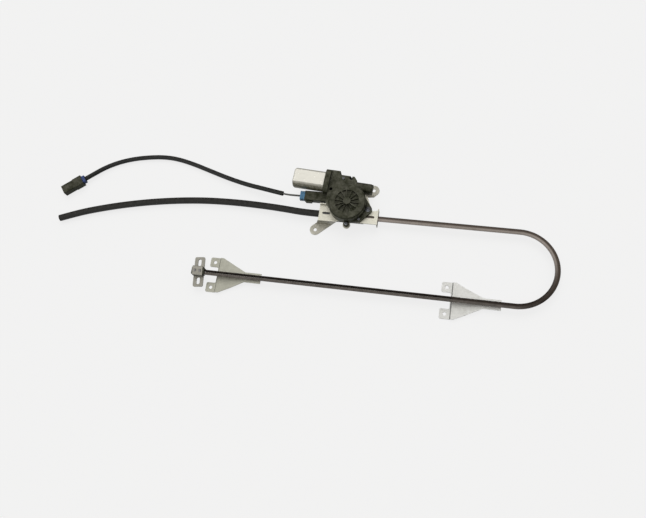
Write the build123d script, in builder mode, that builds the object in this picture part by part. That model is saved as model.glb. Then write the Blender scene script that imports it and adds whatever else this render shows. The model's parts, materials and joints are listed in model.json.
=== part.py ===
from build123d import *
from math import atan, cos, degrees, pi, radians, sin, tan
import os

os.makedirs("parts", exist_ok=True)

# Motor-driven window regulator with a rack cable in a bent guide tube. Millimetres.
# Origin: middle of the left guide support's two fixing holes, on the mounting plane.
# +X runs along the guide tube, +Y towards the motor, +Z away from the door panel.

# ---------------------------------------------------------------- driving dimensions

# guide tube
TUBE_OD = 10.0
TUBE_WALL = 1.25
TUBE_SPACING = 140.0
TUBE_Z = 14.5
TUBE_START_X = -34.0
BEND_X = 566.0
SLOT_WIDTH = 3.2
SLOT_END_MARGIN = 20.0

# window lift
LIFT_REST_X = -25.0
LIFT_TRAVEL = 460.0
LIFT_TILT = 6.0

# guide supports
SUPPORT_SPACING = 445.5
SUPPORT_SHEET = 1.6
SUPPORT_HOLE_SPACING = 50.0
SUPPORT_HOLE_DIA = 6.6
SUPPORT_HEIGHT = 69.0
SUPPORT_FOLD_X = 11.2
SUPPORT_FLAT = 27.0
SUPPORT_REACH = 86.4
SUPPORT_NOSE_WIDTH = 19.4
SUPPORT_NOSE_LENGTH = 32.0
SUPPORT_STEP = 3.4

# motor plate
PLATE_SHEET = 1.6
PLATE_LEFT_REACH = 53.7
PLATE_RIGHT_REACH = 57.8
PLATE_BELOW_TUBE = 14.0
PLATE_ABOVE_TUBE = 18.0
PLATE_HOLE_DIA = 6.6
LOWER_EAR_RUN = -60.0
LOWER_EAR_RISE = -28.5
UPPER_EAR_RUN = 43.3
UPPER_EAR_RISE = 62.3
MOTOR_EAR_RUN = -23.2
MOTOR_EAR_RISE = 59.0
EAR_RADIUS = 10.5

# rack cable and drive gear
CABLE_CORE_DIA = 3.8
CABLE_DIA = 5.6
WRAP_PITCH = 4.0
WRAP_WIDTH = 1.5
GEAR_TEETH = 27
GEAR_THICKNESS = 6.0
GEAR_X = 245.2

# worm drive
WHEEL_TEETH = 61
CENTRE_DISTANCE = 36.4
WORM_PITCH_RADIUS = 5.2
WHEEL_THICKNESS = 8.0
MOTOR_TILT = 4.0
MOTOR_Z = 31.0
PIN_DIA = 8.0
WASHER_THICKNESS = 0.8

# gearbox housing
HOUSING_WALL = 2.6
COVER_THICKNESS = 2.4
RIB_COUNT = 14
RIB_WIDTH = 1.6
RIB_HEIGHT = 3.2
HUB_RADIUS = 7.0
DISH_RADIUS = 23.0
SCREW_DIA = 5.0

# motor
CAN_DIA = 38.6
CAN_FLATS = 30.0
CAN_WALL = 1.5
CAN_LENGTH = 62.0
SHAFT_DIA = 8.0
FLANGE_X = -41.0
FLANGE_THICKNESS = 10.0
ARMATURE_DIA = 24.4
SLOT_COUNT = 8

# hose and motor lead
HOSE_OD = 13.0
HOSE_ID = 9.0
SLEEVE_DIA = 9.0
WIRE_DIA = 2.2
PLUG_RISE = 30.5
PLUG_Z = 22.0
PLUG_WIDTH = 19.0
PLUG_HEIGHT = 15.0
WIRE_OFFSET = 2.0
END_PLUG_X = -351.5
END_PLUG_RISE = 1.2
END_PLUG_ANGLE = 37.6
END_PLUG_Z = 7.7

# clearances
RUNNING = 0.05
SLIDING = 0.3
SEAT = 0.02
LOOSE = 0.4

# ---------------------------------------------------------------- worked-out places

TUBE_R = TUBE_OD / 2
BORE_R = TUBE_R - TUBE_WALL
CABLE_R = CABLE_DIA / 2
CORE_R = CABLE_CORE_DIA / 2
DECK_Z = TUBE_Z + TUBE_R + SLIDING
DECK_TOP = DECK_Z + PLATE_SHEET
COVER_TOP = DECK_TOP + COVER_THICKNESS
PIN_R = PIN_DIA / 2
SHAFT_R = SHAFT_DIA / 2
SCREW_R = SCREW_DIA / 2
PLATE_LOWER_Y = TUBE_SPACING - PLATE_BELOW_TUBE
PLATE_UPPER_Y = TUBE_SPACING + PLATE_ABOVE_TUBE
PLATE_LEFT_X = GEAR_X - PLATE_LEFT_REACH
PLATE_RIGHT_X = GEAR_X + PLATE_RIGHT_REACH
LOWER_EAR = (GEAR_X + LOWER_EAR_RUN, TUBE_SPACING + LOWER_EAR_RISE)
UPPER_EAR = (GEAR_X + UPPER_EAR_RUN, TUBE_SPACING + UPPER_EAR_RISE)
MOTOR_EAR = (GEAR_X + MOTOR_EAR_RUN, TUBE_SPACING + MOTOR_EAR_RISE)
PLUG_Y = TUBE_SPACING + PLUG_RISE

GEAR_PITCH_R = GEAR_TEETH * WRAP_PITCH / (2 * pi)
WRAP_MESH = (CORE_R + CABLE_R) / 2
GEAR_Y = TUBE_SPACING + GEAR_PITCH_R + WRAP_MESH
WHEEL_PITCH_R = CENTRE_DISTANCE - WORM_PITCH_RADIUS
WORM_PITCH = 2 * pi * WHEEL_PITCH_R / WHEEL_TEETH
WORM_LEAD = degrees(atan(WORM_PITCH / (2 * pi * WORM_PITCH_RADIUS)))

motor_run = (cos(radians(MOTOR_TILT)), -sin(radians(MOTOR_TILT)), 0)
gear_plane = Plane(origin=(GEAR_X, GEAR_Y, 0), x_dir=motor_run)
shaft_plane = Plane(
    origin=gear_plane.from_local_coords((0, CENTRE_DISTANCE, MOTOR_Z)),
    x_dir=gear_plane.y_dir,
    z_dir=gear_plane.x_dir,
)


def level(z):
    """Gearbox working plane at height z, with X along the motor."""
    return gear_plane.offset(z)


def station(x):
    """Plane across the motor shaft, x along it from the middle of the worm."""
    return shaft_plane.offset(x)


def finish(piece, name):
    """Label a sub-part and write its STEP file."""
    piece.part.label = name
    export_step(piece.part, f"parts/{name}.step")


# ---------------------------------------------------------------- guide tube

BLOCK_REACH = 32.0
TUBE_SEAT_DEPTH = 5.0
slot_end_x = LIFT_REST_X + LIFT_TRAVEL + SLOT_END_MARGIN
block_left_x = PLATE_LEFT_X + PLATE_SHEET
block_right_x = GEAR_X + BLOCK_REACH
tube_end_x = block_right_x - TUBE_SEAT_DEPTH

with BuildPart() as guide_tube:
    with BuildLine(Plane.XY.offset(TUBE_Z)) as tube_path:
        lift_run = Line((TUBE_START_X, 0), (BEND_X, 0))
        bend = TangentArc(lift_run @ 1, (BEND_X, TUBE_SPACING), tangent=lift_run % 1)
        Line(bend @ 1, (tube_end_x, TUBE_SPACING))
    with BuildSketch(Plane(origin=lift_run @ 0, z_dir=lift_run % 0)):
        Circle(TUBE_R)
        Circle(BORE_R, mode=Mode.SUBTRACT)
    sweep(path=tube_path.wires()[0])
    with BuildSketch(Plane.XY.offset(TUBE_Z)):
        with Locations((TUBE_START_X - 1, 0)):
            Rectangle(slot_end_x - TUBE_START_X + 1, SLOT_WIDTH, align=(Align.MIN, Align.CENTER))
        with Locations((slot_end_x, 0)):
            Circle(SLOT_WIDTH / 2)
    extrude(amount=TUBE_OD, mode=Mode.SUBTRACT)
finish(guide_tube, "guide_tube")

# ---------------------------------------------------------------- guide supports

EAR_INSET = 9.5
EAR_CORNER = 3.0
FOLD_SLOPE = 0.6
SHOULDER_RUN = 5.0
NOTCH_LIP = 1.0
FINDER = 0.5
nose_z = TUBE_Z - TUBE_R - RUNNING - SUPPORT_SHEET
nose_start_x = SUPPORT_FOLD_X + SUPPORT_REACH - SUPPORT_NOSE_LENGTH
ramp_start_x = SUPPORT_FOLD_X + SUPPORT_FLAT
fold_run = SUPPORT_STEP * FOLD_SLOPE
notch_x = SUPPORT_FOLD_X - fold_run - NOTCH_LIP


def guide_support(x, name):
    """Stamped sheet with two ears, a joggle at the fold and a nose under the tube."""
    side = Plane(origin=(x, 0, 0), x_dir=(1, 0, 0), z_dir=(0, -1, 0))
    top = Plane(origin=(x, 0, 0))
    path = [
        (-EAR_INSET, 0),
        (SUPPORT_FOLD_X - fold_run, 0),
        (SUPPORT_FOLD_X, SUPPORT_STEP),
        (ramp_start_x, SUPPORT_STEP),
        (nose_start_x, nose_z),
        (SUPPORT_FOLD_X + SUPPORT_REACH, nose_z),
    ]
    upper = [(px, pz + SUPPORT_SHEET) for px, pz in reversed(path)]
    half = SUPPORT_HEIGHT / 2
    with BuildPart() as support:
        with BuildSketch(side):
            with BuildLine():
                Polyline(path + upper, close=True)
            make_face()
        extrude(amount=half, both=True)
        with BuildSketch(top) as outline:
            with BuildLine():
                Polyline(
                    [
                        (-EAR_INSET, -half),
                        (SUPPORT_FOLD_X + SHOULDER_RUN, -half),
                        (nose_start_x, -SUPPORT_NOSE_WIDTH / 2),
                        (SUPPORT_FOLD_X + SUPPORT_REACH, -SUPPORT_NOSE_WIDTH / 2),
                        (SUPPORT_FOLD_X + SUPPORT_REACH, SUPPORT_NOSE_WIDTH / 2),
                        (nose_start_x, SUPPORT_NOSE_WIDTH / 2),
                        (SUPPORT_FOLD_X + SHOULDER_RUN, half),
                        (-EAR_INSET, half),
                    ],
                    close=True,
                )
            make_face()
            with Locations((-EAR_INSET, 0)):
                Rectangle(
                    2 * (EAR_INSET + notch_x),
                    SUPPORT_HOLE_SPACING - 2 * EAR_INSET,
                    mode=Mode.SUBTRACT,
                )
            for corner_x in (-EAR_INSET, notch_x):
                corners = outline.vertices().filter_by_position(Axis.X, corner_x - FINDER, corner_x + FINDER)
                fillet(corners, EAR_CORNER)
            with GridLocations(1, SUPPORT_HOLE_SPACING, 1, 2):
                Circle(SUPPORT_HOLE_DIA / 2, mode=Mode.SUBTRACT)
        extrude(amount=TUBE_Z, mode=Mode.INTERSECT)
    finish(support, name)


guide_support(0, "left_guide_support")
guide_support(SUPPORT_SPACING, "right_guide_support")

# ---------------------------------------------------------------- window lift

LIFT_SHEET = 2.0
LIFT_LENGTH = 59.0
LIFT_WIDTH = 20.0
LIFT_WING_Z = 11.0
PAD_THICKNESS = 1.7
PAD_WIDTH = 9.0
PAD_LENGTH = 16.0
SHOE_WALL = 1.5
SHOE_LENGTH = 25.0
LIFT_CORNER = 3.5
LIFT_SLOT_LENGTH = 13.5
LIFT_SLOT_WIDTH = 6.6
LIFT_SLOT_SPACING = 36.0
RIVET_DIA = 3.0
RIVET_SPACING = 10.0
TONGUE_WIDTH = SLOT_WIDTH - 2 * LOOSE

pad_z = TUBE_Z + TUBE_R + SLIDING
saddle_z = pad_z + PAD_THICKNESS
shoe_half = TUBE_R + SLIDING + SHOE_WALL
lift_plane = Plane(origin=(LIFT_REST_X, 0, 0))
lift_section = Plane(origin=(LIFT_REST_X, 0, 0), x_dir=(0, 1, 0), z_dir=(1, 0, 0))

with BuildPart() as lift_bracket:
    inner = shoe_half + LOOSE
    outer = inner + LIFT_SHEET
    end_y = LIFT_LENGTH / 2 + LIFT_SHEET
    with BuildSketch(lift_section):
        with BuildLine():
            Polyline(
                (-end_y, LIFT_WING_Z),
                (-inner, LIFT_WING_Z),
                (-inner, saddle_z),
                (inner, saddle_z),
                (inner, LIFT_WING_Z),
                (end_y, LIFT_WING_Z),
                (end_y, LIFT_WING_Z + LIFT_SHEET),
                (outer, LIFT_WING_Z + LIFT_SHEET),
                (outer, saddle_z + LIFT_SHEET),
                (-outer, saddle_z + LIFT_SHEET),
                (-outer, LIFT_WING_Z + LIFT_SHEET),
                (-end_y, LIFT_WING_Z + LIFT_SHEET),
                close=True,
            )
        make_face()
    extrude(amount=LIFT_WIDTH, both=True)
    fold_edges = lift_bracket.edges().filter_by(Axis.X).filter_by_position(Axis.Y, -outer, outer)
    fillet(fold_edges.group_by(Axis.Z)[-1], LIFT_SHEET * 0.9)
    with BuildSketch(lift_plane):
        RectangleRounded(LIFT_WIDTH, LIFT_LENGTH, LIFT_CORNER, rotation=LIFT_TILT)
    extrude(amount=2 * saddle_z, mode=Mode.INTERSECT)
    with BuildSketch(lift_plane.rotated((0, 0, LIFT_TILT))):
        with GridLocations(1, LIFT_SLOT_SPACING, 1, 2):
            SlotOverall(LIFT_SLOT_LENGTH, LIFT_SLOT_WIDTH, rotation=90)
    extrude(amount=saddle_z, mode=Mode.SUBTRACT)
    with BuildSketch(lift_plane.offset(saddle_z)):
        with GridLocations(RIVET_SPACING, 1, 2, 1):
            Circle(RIVET_DIA / 2 + SEAT)
    extrude(amount=LIFT_SHEET, mode=Mode.SUBTRACT)
finish(lift_bracket, "lift_bracket")

shoe_top = saddle_z - SLIDING
with BuildPart() as lift_shoe:
    with BuildSketch(lift_section):
        with Locations((0, (LIFT_WING_Z + shoe_top) / 2)):
            Rectangle(2 * shoe_half, shoe_top - LIFT_WING_Z)
        with Locations((0, TUBE_Z)):
            Circle(TUBE_R + SLIDING, mode=Mode.SUBTRACT)
        with Locations((0, LIFT_WING_Z)):
            Rectangle(2 * (TUBE_R + SLIDING), 2 * (TUBE_Z - LIFT_WING_Z), mode=Mode.SUBTRACT)
    extrude(amount=SHOE_LENGTH / 2, both=True)
    with Locations((LIFT_REST_X, 0, shoe_top)):
        Box(PAD_LENGTH + LOOSE, PAD_WIDTH + LOOSE, 2 * (saddle_z - pad_z), mode=Mode.SUBTRACT)
finish(lift_shoe, "lift_shoe")

FERRULE_LENGTH = 24.0
ferrule_radius = BORE_R - LOOSE
ferrule_start_x = LIFT_REST_X - PAD_LENGTH / 2
cable_start_x = ferrule_start_x + FERRULE_LENGTH
with BuildPart() as cable_driver:
    with BuildSketch(Plane(origin=(ferrule_start_x, 0, TUBE_Z), x_dir=(0, 1, 0), z_dir=(1, 0, 0))):
        Circle(ferrule_radius)
    extrude(amount=FERRULE_LENGTH)
    with BuildSketch(lift_plane.offset(TUBE_Z)):
        Rectangle(PAD_LENGTH, TONGUE_WIDTH)
    extrude(amount=saddle_z - TUBE_Z)
    with BuildSketch(lift_plane.offset(pad_z)):
        Rectangle(PAD_LENGTH, PAD_WIDTH)
    extrude(amount=PAD_THICKNESS)
    with BuildSketch(lift_plane.offset(pad_z)):
        with GridLocations(RIVET_SPACING, 1, 2, 1):
            Circle(RIVET_DIA / 2 + SEAT)
    extrude(amount=PAD_THICKNESS, mode=Mode.SUBTRACT)
finish(cable_driver, "cable_driver")

RIVET_HEAD_DIA = 6.0
RIVET_HEAD_HEIGHT = 1.4
RIVET_HEAD_ANGLE = 30.0
with BuildPart() as lift_rivets:
    with BuildSketch(lift_plane.offset(pad_z + SEAT)):
        with GridLocations(RIVET_SPACING, 1, 2, 1):
            Circle(RIVET_DIA / 2)
    extrude(amount=PAD_THICKNESS + LIFT_SHEET - SEAT)
    with BuildSketch(lift_plane.offset(saddle_z + LIFT_SHEET)):
        with GridLocations(RIVET_SPACING, 1, 2, 1):
            Circle(RIVET_HEAD_DIA / 2)
    extrude(amount=RIVET_HEAD_HEIGHT, taper=RIVET_HEAD_ANGLE)
finish(lift_rivets, "lift_rivets")

# ---------------------------------------------------------------- rack cable

WRAP_COUNT = 9
TAIL_LENGTH = 40.0
wrap_start_x = GEAR_X + WRAP_COUNT * WRAP_PITCH / 2
tail_end_x = GEAR_X - TAIL_LENGTH

with BuildPart() as rack_cable:
    with BuildLine(Plane.XY.offset(TUBE_Z)) as cable_path:
        cable_lower = Line((cable_start_x, 0), (BEND_X, 0))
        cable_bend = TangentArc(cable_lower @ 1, (BEND_X, TUBE_SPACING), tangent=cable_lower % 1)
        Line(cable_bend @ 1, (wrap_start_x, TUBE_SPACING))
    with BuildSketch(Plane(origin=cable_lower @ 0, z_dir=cable_lower % 0)):
        Circle(CABLE_R)
    sweep(path=cable_path.wires()[0])
    cable_start = Plane(origin=(wrap_start_x, TUBE_SPACING, TUBE_Z), x_dir=(0, 1, 0), z_dir=(-1, 0, 0))
    with BuildSketch(cable_start):
        Circle(CORE_R)
    extrude(amount=WRAP_COUNT * WRAP_PITCH)
    for turn in range(WRAP_COUNT):
        with BuildSketch(cable_start.offset(turn * WRAP_PITCH + WRAP_PITCH - WRAP_WIDTH / 2)):
            Circle(CABLE_R)
        extrude(amount=WRAP_WIDTH)
    with BuildSketch(cable_start.offset(WRAP_COUNT * WRAP_PITCH)):
        Circle(CABLE_R)
    extrude(amount=wrap_start_x - WRAP_COUNT * WRAP_PITCH - tail_end_x)
finish(rack_cable, "rack_cable")

# ---------------------------------------------------------------- cable guide block

GUIDE_Z = 5.5
POCKET_GAP = 1.0
GUIDE_WALL = 2.5
GUIDE_WIDTH = 20.0
SPIGOT_LENGTH = 12.0
SPIGOT_GAP = 0.2
GUIDE_LUG_R = 5.0
GUIDE_SCREW_R = 2.0
PIN_SEAT_DEPTH = 3.0
PASSAGE_GAP = 0.5
MESH_GAP = 0.1
GUIDE_SCREW_ANGLE = 30.0
GUIDE_SCREW_SPREAD_ANGLE = 120.0

gear_low_z = TUBE_Z - GEAR_THICKNESS / 2
gear_high_z = TUBE_Z + GEAR_THICKNESS / 2
gear_tip_r = GEAR_PITCH_R + WRAP_MESH - CORE_R - MESH_GAP
gear_root_r = GEAR_PITCH_R - (CABLE_R - WRAP_MESH) - SLIDING
pocket_r = gear_tip_r + POCKET_GAP
pocket_z = gear_low_z - WASHER_THICKNESS - SLIDING
guide_radius = pocket_r + GUIDE_WALL
passage_r = CABLE_R + PASSAGE_GAP
spigot_r = HOSE_ID / 2 - SPIGOT_GAP
spigot_length = PLATE_SHEET + SPIGOT_LENGTH
gear_axis = Plane(origin=(GEAR_X, GEAR_Y, 0))
guide_mid_x = (block_left_x + block_right_x) / 2 - GEAR_X


def guide_screw_spots():
    """Places of the two screws that hold the guide block under the plate."""
    return PolarLocations(
        guide_radius + GUIDE_LUG_R / 2, 2, GUIDE_SCREW_ANGLE, GUIDE_SCREW_SPREAD_ANGLE, endpoint=True
    )


with BuildPart() as cable_guide:
    with BuildSketch(gear_axis.offset(GUIDE_Z)):
        Circle(guide_radius)
        with Locations((guide_mid_x, TUBE_SPACING - GEAR_Y)):
            Rectangle(block_right_x - block_left_x, GUIDE_WIDTH)
        with guide_screw_spots():
            Circle(GUIDE_LUG_R)
    extrude(amount=DECK_Z - GUIDE_Z)
    with BuildSketch(Plane(origin=(block_left_x, TUBE_SPACING, TUBE_Z), x_dir=(0, 1, 0), z_dir=(-1, 0, 0))):
        Circle(spigot_r)
    extrude(amount=spigot_length)
    with BuildSketch(gear_axis.offset(pocket_z)):
        Circle(pocket_r)
    extrude(amount=DECK_Z - pocket_z, mode=Mode.SUBTRACT)
    with BuildSketch(Plane(origin=(block_right_x, TUBE_SPACING, TUBE_Z), x_dir=(0, 1, 0), z_dir=(-1, 0, 0))):
        Circle(passage_r)
    extrude(amount=block_right_x - block_left_x + spigot_length, mode=Mode.SUBTRACT)
    with BuildSketch(Plane(origin=(block_right_x, TUBE_SPACING, TUBE_Z), x_dir=(0, 1, 0), z_dir=(-1, 0, 0))):
        Circle(TUBE_R + RUNNING)
    extrude(amount=TUBE_SEAT_DEPTH, mode=Mode.SUBTRACT)
    with BuildSketch(gear_axis.offset(pocket_z)):
        Circle(PIN_R + SEAT)
    extrude(amount=-PIN_SEAT_DEPTH, mode=Mode.SUBTRACT)
    with BuildSketch(gear_axis.offset(GUIDE_Z)):
        with guide_screw_spots():
            Circle(GUIDE_SCREW_R + SEAT)
    extrude(amount=DECK_Z - GUIDE_Z, mode=Mode.SUBTRACT)
finish(cable_guide, "cable_guide")

GUIDE_SCREW_HEAD_R = 3.6
GUIDE_SCREW_HEAD = 2.4
with BuildPart() as guide_screws:
    with BuildSketch(gear_axis.offset(GUIDE_Z - GUIDE_SCREW_HEAD)):
        with guide_screw_spots():
            Circle(GUIDE_SCREW_HEAD_R)
    extrude(amount=GUIDE_SCREW_HEAD)
    with BuildSketch(gear_axis.offset(GUIDE_Z)):
        with guide_screw_spots():
            Circle(GUIDE_SCREW_R)
    extrude(amount=DECK_TOP - GUIDE_Z - RUNNING)
finish(guide_screws, "guide_screws")

# ---------------------------------------------------------------- motor plate

FLANGE_HEIGHT = 16.0
FLANGE_CUT = 4.0
WINDOW_LENGTH = 15.5
WINDOW_WIDTH = 4.6
WINDOW_INSET = 12.5
DECK_HOLE_R = 10.2
EAR_RUN = 9.0
RAMP_RUN = 13.0
LEG_LAP = 8.0
LEG_WIDTH = 30.0
LEG_LEAN = 6.0
MOTOR_LEG_WIDTH = 20.0
MOTOR_LEG_RISE = 70.5
LEG_ANGLE = 45.0
LIP_LENGTH = 12.0
LIP_HEIGHT = 5.0
LUG_A_ANGLE = -82.8
LUG_B_ANGLE = -5.9
LUG_C_ANGLE = -45.0
LUG_A_REACH = 3.6
LUG_B_REACH = 4.4
LUG_C_REACH = 2.0
TOP_SCREW = (-2.0, 49.0)
TOP_COVER_SCREW = (-16.6, 46.0)
REAR_COVER_SCREW = (-36.0, 21.0)
SCREW_LUG_RADII = [5.2, 7.6, 6.5]
PLATE_TAB_RADII = [7.2, 7.0, 6.0]
HEAD_RADII = [3.4, 5.4, 3.4]
WHEEL_ADDENDUM = 0.9
CHAMBER_GAP = 1.2

wheel_tip_r = WHEEL_PITCH_R + WHEEL_ADDENDUM
chamber_r = wheel_tip_r + CHAMBER_GAP
housing_r = chamber_r + HOUSING_WALL


def lug_spot(angle, reach):
    """Place of a screw lug that stands out from the round of the housing, in the gearbox plane."""
    return ((housing_r + reach) * cos(radians(angle)), (housing_r + reach) * sin(radians(angle)))


SCREW_SPOTS = [lug_spot(LUG_A_ANGLE, LUG_A_REACH), lug_spot(LUG_B_ANGLE, LUG_B_REACH), TOP_SCREW]
COVER_SPOTS = [TOP_COVER_SCREW, lug_spot(LUG_C_ANGLE, LUG_C_REACH), REAR_COVER_SCREW]

# The deck's edge round the gearbox, from the gear's axis along the tube and from the return run across it.
deck_edge = [
    (46.8, 12.0),
    (35.8, 39.0),
    (20.8, 54.5),
    (6.8, 73.0),
    (-33.2, 72.0),
    (-38.2, 30.0),
    (-39.2, PLATE_ABOVE_TUBE),
]
deck_outline = [
    (PLATE_LEFT_X, PLATE_LOWER_Y),
    (PLATE_RIGHT_X, PLATE_LOWER_Y),
    (PLATE_RIGHT_X, PLATE_UPPER_Y - FLANGE_CUT),
    *[(GEAR_X + run, TUBE_SPACING + rise) for run, rise in deck_edge],
    (PLATE_LEFT_X, PLATE_UPPER_Y),
]
motor_leg_y = TUBE_SPACING + MOTOR_LEG_RISE
flange_mid_y = (PLATE_UPPER_Y + PLATE_LOWER_Y) / 2 - TUBE_SPACING
leg_foot = (PLATE_LEFT_X - LEG_LEAN + LEG_WIDTH / 2, PLATE_LOWER_Y - PLATE_SHEET / 2)
deck_screws = [gear_plane.from_local_coords((x, y, 0)) for x, y in SCREW_SPOTS]
upper_leg = Plane(
    origin=(UPPER_EAR[0], UPPER_EAR[1], 0),
    x_dir=(-cos(radians(LEG_ANGLE)), -sin(radians(LEG_ANGLE)), 0),
    z_dir=(-sin(radians(LEG_ANGLE)), cos(radians(LEG_ANGLE)), 0),
)

with BuildPart() as motor_plate:
    with BuildSketch(Plane.XY.offset(DECK_Z)):
        Polygon(*deck_outline, align=None)
        for place, radius in zip(deck_screws, PLATE_TAB_RADII):
            with Locations((place.X, place.Y)):
                Circle(radius)
        for place in deck_screws:
            with Locations((place.X, place.Y)):
                Circle(SCREW_R + SEAT, mode=Mode.SUBTRACT)
        with Locations((GEAR_X, GEAR_Y)):
            Circle(DECK_HOLE_R, mode=Mode.SUBTRACT)
            with guide_screw_spots():
                Circle(GUIDE_SCREW_R + SEAT, mode=Mode.SUBTRACT)
        with Locations(
            (PLATE_LEFT_X + WINDOW_INSET + PLATE_SHEET, TUBE_SPACING),
            (PLATE_RIGHT_X - WINDOW_INSET, TUBE_SPACING),
        ):
            SlotOverall(WINDOW_LENGTH, WINDOW_WIDTH, mode=Mode.SUBTRACT)
    extrude(amount=PLATE_SHEET)
    for edge_x, radius in ((PLATE_LEFT_X, spigot_r + RUNNING), (PLATE_RIGHT_X, TUBE_R + RUNNING)):
        with BuildSketch(Plane(origin=(edge_x, TUBE_SPACING, DECK_TOP), x_dir=(0, 1, 0), z_dir=(1, 0, 0))):
            with Locations((flange_mid_y, -FLANGE_HEIGHT / 2)):
                Rectangle(PLATE_UPPER_Y - PLATE_LOWER_Y, FLANGE_HEIGHT)
            with Locations((0, TUBE_Z - DECK_TOP)):
                Circle(radius, mode=Mode.SUBTRACT)
        extrude(amount=PLATE_SHEET)
    with BuildSketch(Plane(origin=(0, PLATE_LOWER_Y, 0), x_dir=(1, 0, 0), z_dir=(0, -1, 0))):
        Polygon(
            (PLATE_LEFT_X, DECK_TOP),
            (PLATE_LEFT_X - LEG_LEAN, 0),
            (PLATE_LEFT_X - LEG_LEAN + LEG_WIDTH, 0),
            (PLATE_LEFT_X + LEG_WIDTH + LEG_LEAN, DECK_TOP),
            align=None,
        )
    extrude(amount=PLATE_SHEET)
    with BuildSketch(Plane(origin=(MOTOR_EAR[0], motor_leg_y, 0), x_dir=(1, 0, 0), z_dir=(0, -1, 0))):
        with Locations((0, DECK_TOP / 2)):
            Rectangle(MOTOR_LEG_WIDTH, DECK_TOP)
    extrude(amount=PLATE_SHEET)
    with BuildSketch(Plane(origin=(0, PLATE_UPPER_Y, 0), x_dir=(1, 0, 0), z_dir=(0, -1, 0))):
        with Locations((PLATE_LEFT_X, DECK_Z)):
            Rectangle(LIP_LENGTH, PLATE_SHEET + LIP_HEIGHT, align=Align.MIN)
    extrude(amount=PLATE_SHEET)
    with BuildSketch(upper_leg):
        Polygon(
            (0, 0),
            (EAR_RUN, 0),
            (EAR_RUN + RAMP_RUN, DECK_Z),
            (EAR_RUN + RAMP_RUN + LEG_LAP, DECK_Z),
            (EAR_RUN + RAMP_RUN + LEG_LAP, DECK_TOP),
            (EAR_RUN + RAMP_RUN - PLATE_SHEET / 2, DECK_TOP),
            (EAR_RUN - PLATE_SHEET / 2, PLATE_SHEET),
            (0, PLATE_SHEET),
            align=None,
        )
    extrude(amount=EAR_RADIUS, both=True)
    for ear, foot, width in (
        (LOWER_EAR, leg_foot, LEG_WIDTH),
        (MOTOR_EAR, (MOTOR_EAR[0], motor_leg_y - PLATE_SHEET / 2), MOTOR_LEG_WIDTH),
    ):
        with BuildSketch():
            with Locations(ear):
                Circle(EAR_RADIUS)
            with Locations(foot):
                Rectangle(width, PLATE_SHEET)
            make_hull()
        extrude(amount=PLATE_SHEET)
    with BuildSketch():
        with Locations(UPPER_EAR):
            Circle(EAR_RADIUS)
    extrude(amount=PLATE_SHEET)
    with BuildSketch():
        with Locations(LOWER_EAR, UPPER_EAR, MOTOR_EAR):
            Circle(PLATE_HOLE_DIA / 2)
    extrude(amount=PLATE_SHEET, mode=Mode.SUBTRACT)
finish(motor_plate, "motor_plate")

# ---------------------------------------------------------------- output: wheel, damper, driver, gear

SLEEVE_R = 7.0
WHEEL_DEDENDUM = 1.1
WHEEL_TOOTH = 1.4
WORM_TOOTH = 1.25
FLANK = tan(radians(20))
GEAR_TOOTH = 1.5
GEAR_TOOTH_TIP = 1.0
RIM_R = 27.5
WEB = 2.0
WHEEL_HUB_R = 9.5
FIN_COUNT = 3
FIN_WIDTH = 3.0
FIN_GAP = 0.3
WHEEL_FIN_INNER_R = 14.0
DISC_FIN_INNER_R = 10.0
DISC_FIN_OUTER_R = 24.0
DISC_THICKNESS = 1.7
HEX_R = 6.4
WASHER_LIP = 2.0

wheel_low_z = MOTOR_Z - WHEEL_THICKNESS / 2
wheel_high_z = MOTOR_Z + WHEEL_THICKNESS / 2
wheel_root_r = WHEEL_PITCH_R - WHEEL_DEDENDUM
disc_z = wheel_high_z + SLIDING
disc_top = disc_z + DISC_THICKNESS
damper_low_z = wheel_low_z + WEB + RUNNING
wheel_fin_length = RIM_R - WHEEL_FIN_INNER_R
wheel_fins = PolarLocations((RIM_R + WHEEL_FIN_INNER_R) / 2, FIN_COUNT)
disc_fin_length = DISC_FIN_OUTER_R - DISC_FIN_INNER_R
disc_fins = PolarLocations((DISC_FIN_OUTER_R + DISC_FIN_INNER_R) / 2, FIN_COUNT, start_angle=180 / FIN_COUNT)


def toothed_disc(teeth, root_r, tip_r, root_width, tip_width, start):
    """Gear outline with straight-sided teeth, the first one centred at start degrees."""
    points = []
    for tooth in range(teeth):
        middle = radians(start + tooth * 360 / teeth)
        for radius, offset in (
            (root_r, -root_width / 2),
            (tip_r, -tip_width / 2),
            (tip_r, tip_width / 2),
            (root_r, root_width / 2),
        ):
            angle = middle + offset / radius
            points.append((radius * cos(angle), radius * sin(angle)))
    Polygon(*points, align=None)


with BuildPart() as worm_wheel:
    skew = degrees(WHEEL_THICKNESS / 2 * tan(radians(WORM_LEAD)) / WHEEL_PITCH_R)
    root_width = WHEEL_TOOTH + 2 * WHEEL_DEDENDUM * FLANK
    tip_width = WHEEL_TOOTH - 2 * WHEEL_ADDENDUM * FLANK
    for z, turn in ((wheel_low_z, -skew), (wheel_high_z, skew)):
        with BuildSketch(level(z)):
            toothed_disc(WHEEL_TEETH, wheel_root_r, wheel_tip_r, root_width, tip_width, 90 + turn)
    loft(ruled=True)
    with BuildSketch(level(wheel_low_z + WEB)):
        Circle(RIM_R)
        Circle(WHEEL_HUB_R, mode=Mode.SUBTRACT)
        with wheel_fins:
            Rectangle(wheel_fin_length, FIN_WIDTH, mode=Mode.SUBTRACT)
    extrude(amount=WHEEL_THICKNESS, mode=Mode.SUBTRACT)
    with BuildSketch(level(wheel_low_z)):
        Circle(SLEEVE_R + RUNNING)
    extrude(amount=WHEEL_THICKNESS, mode=Mode.SUBTRACT)
finish(worm_wheel, "worm_wheel")

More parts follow.
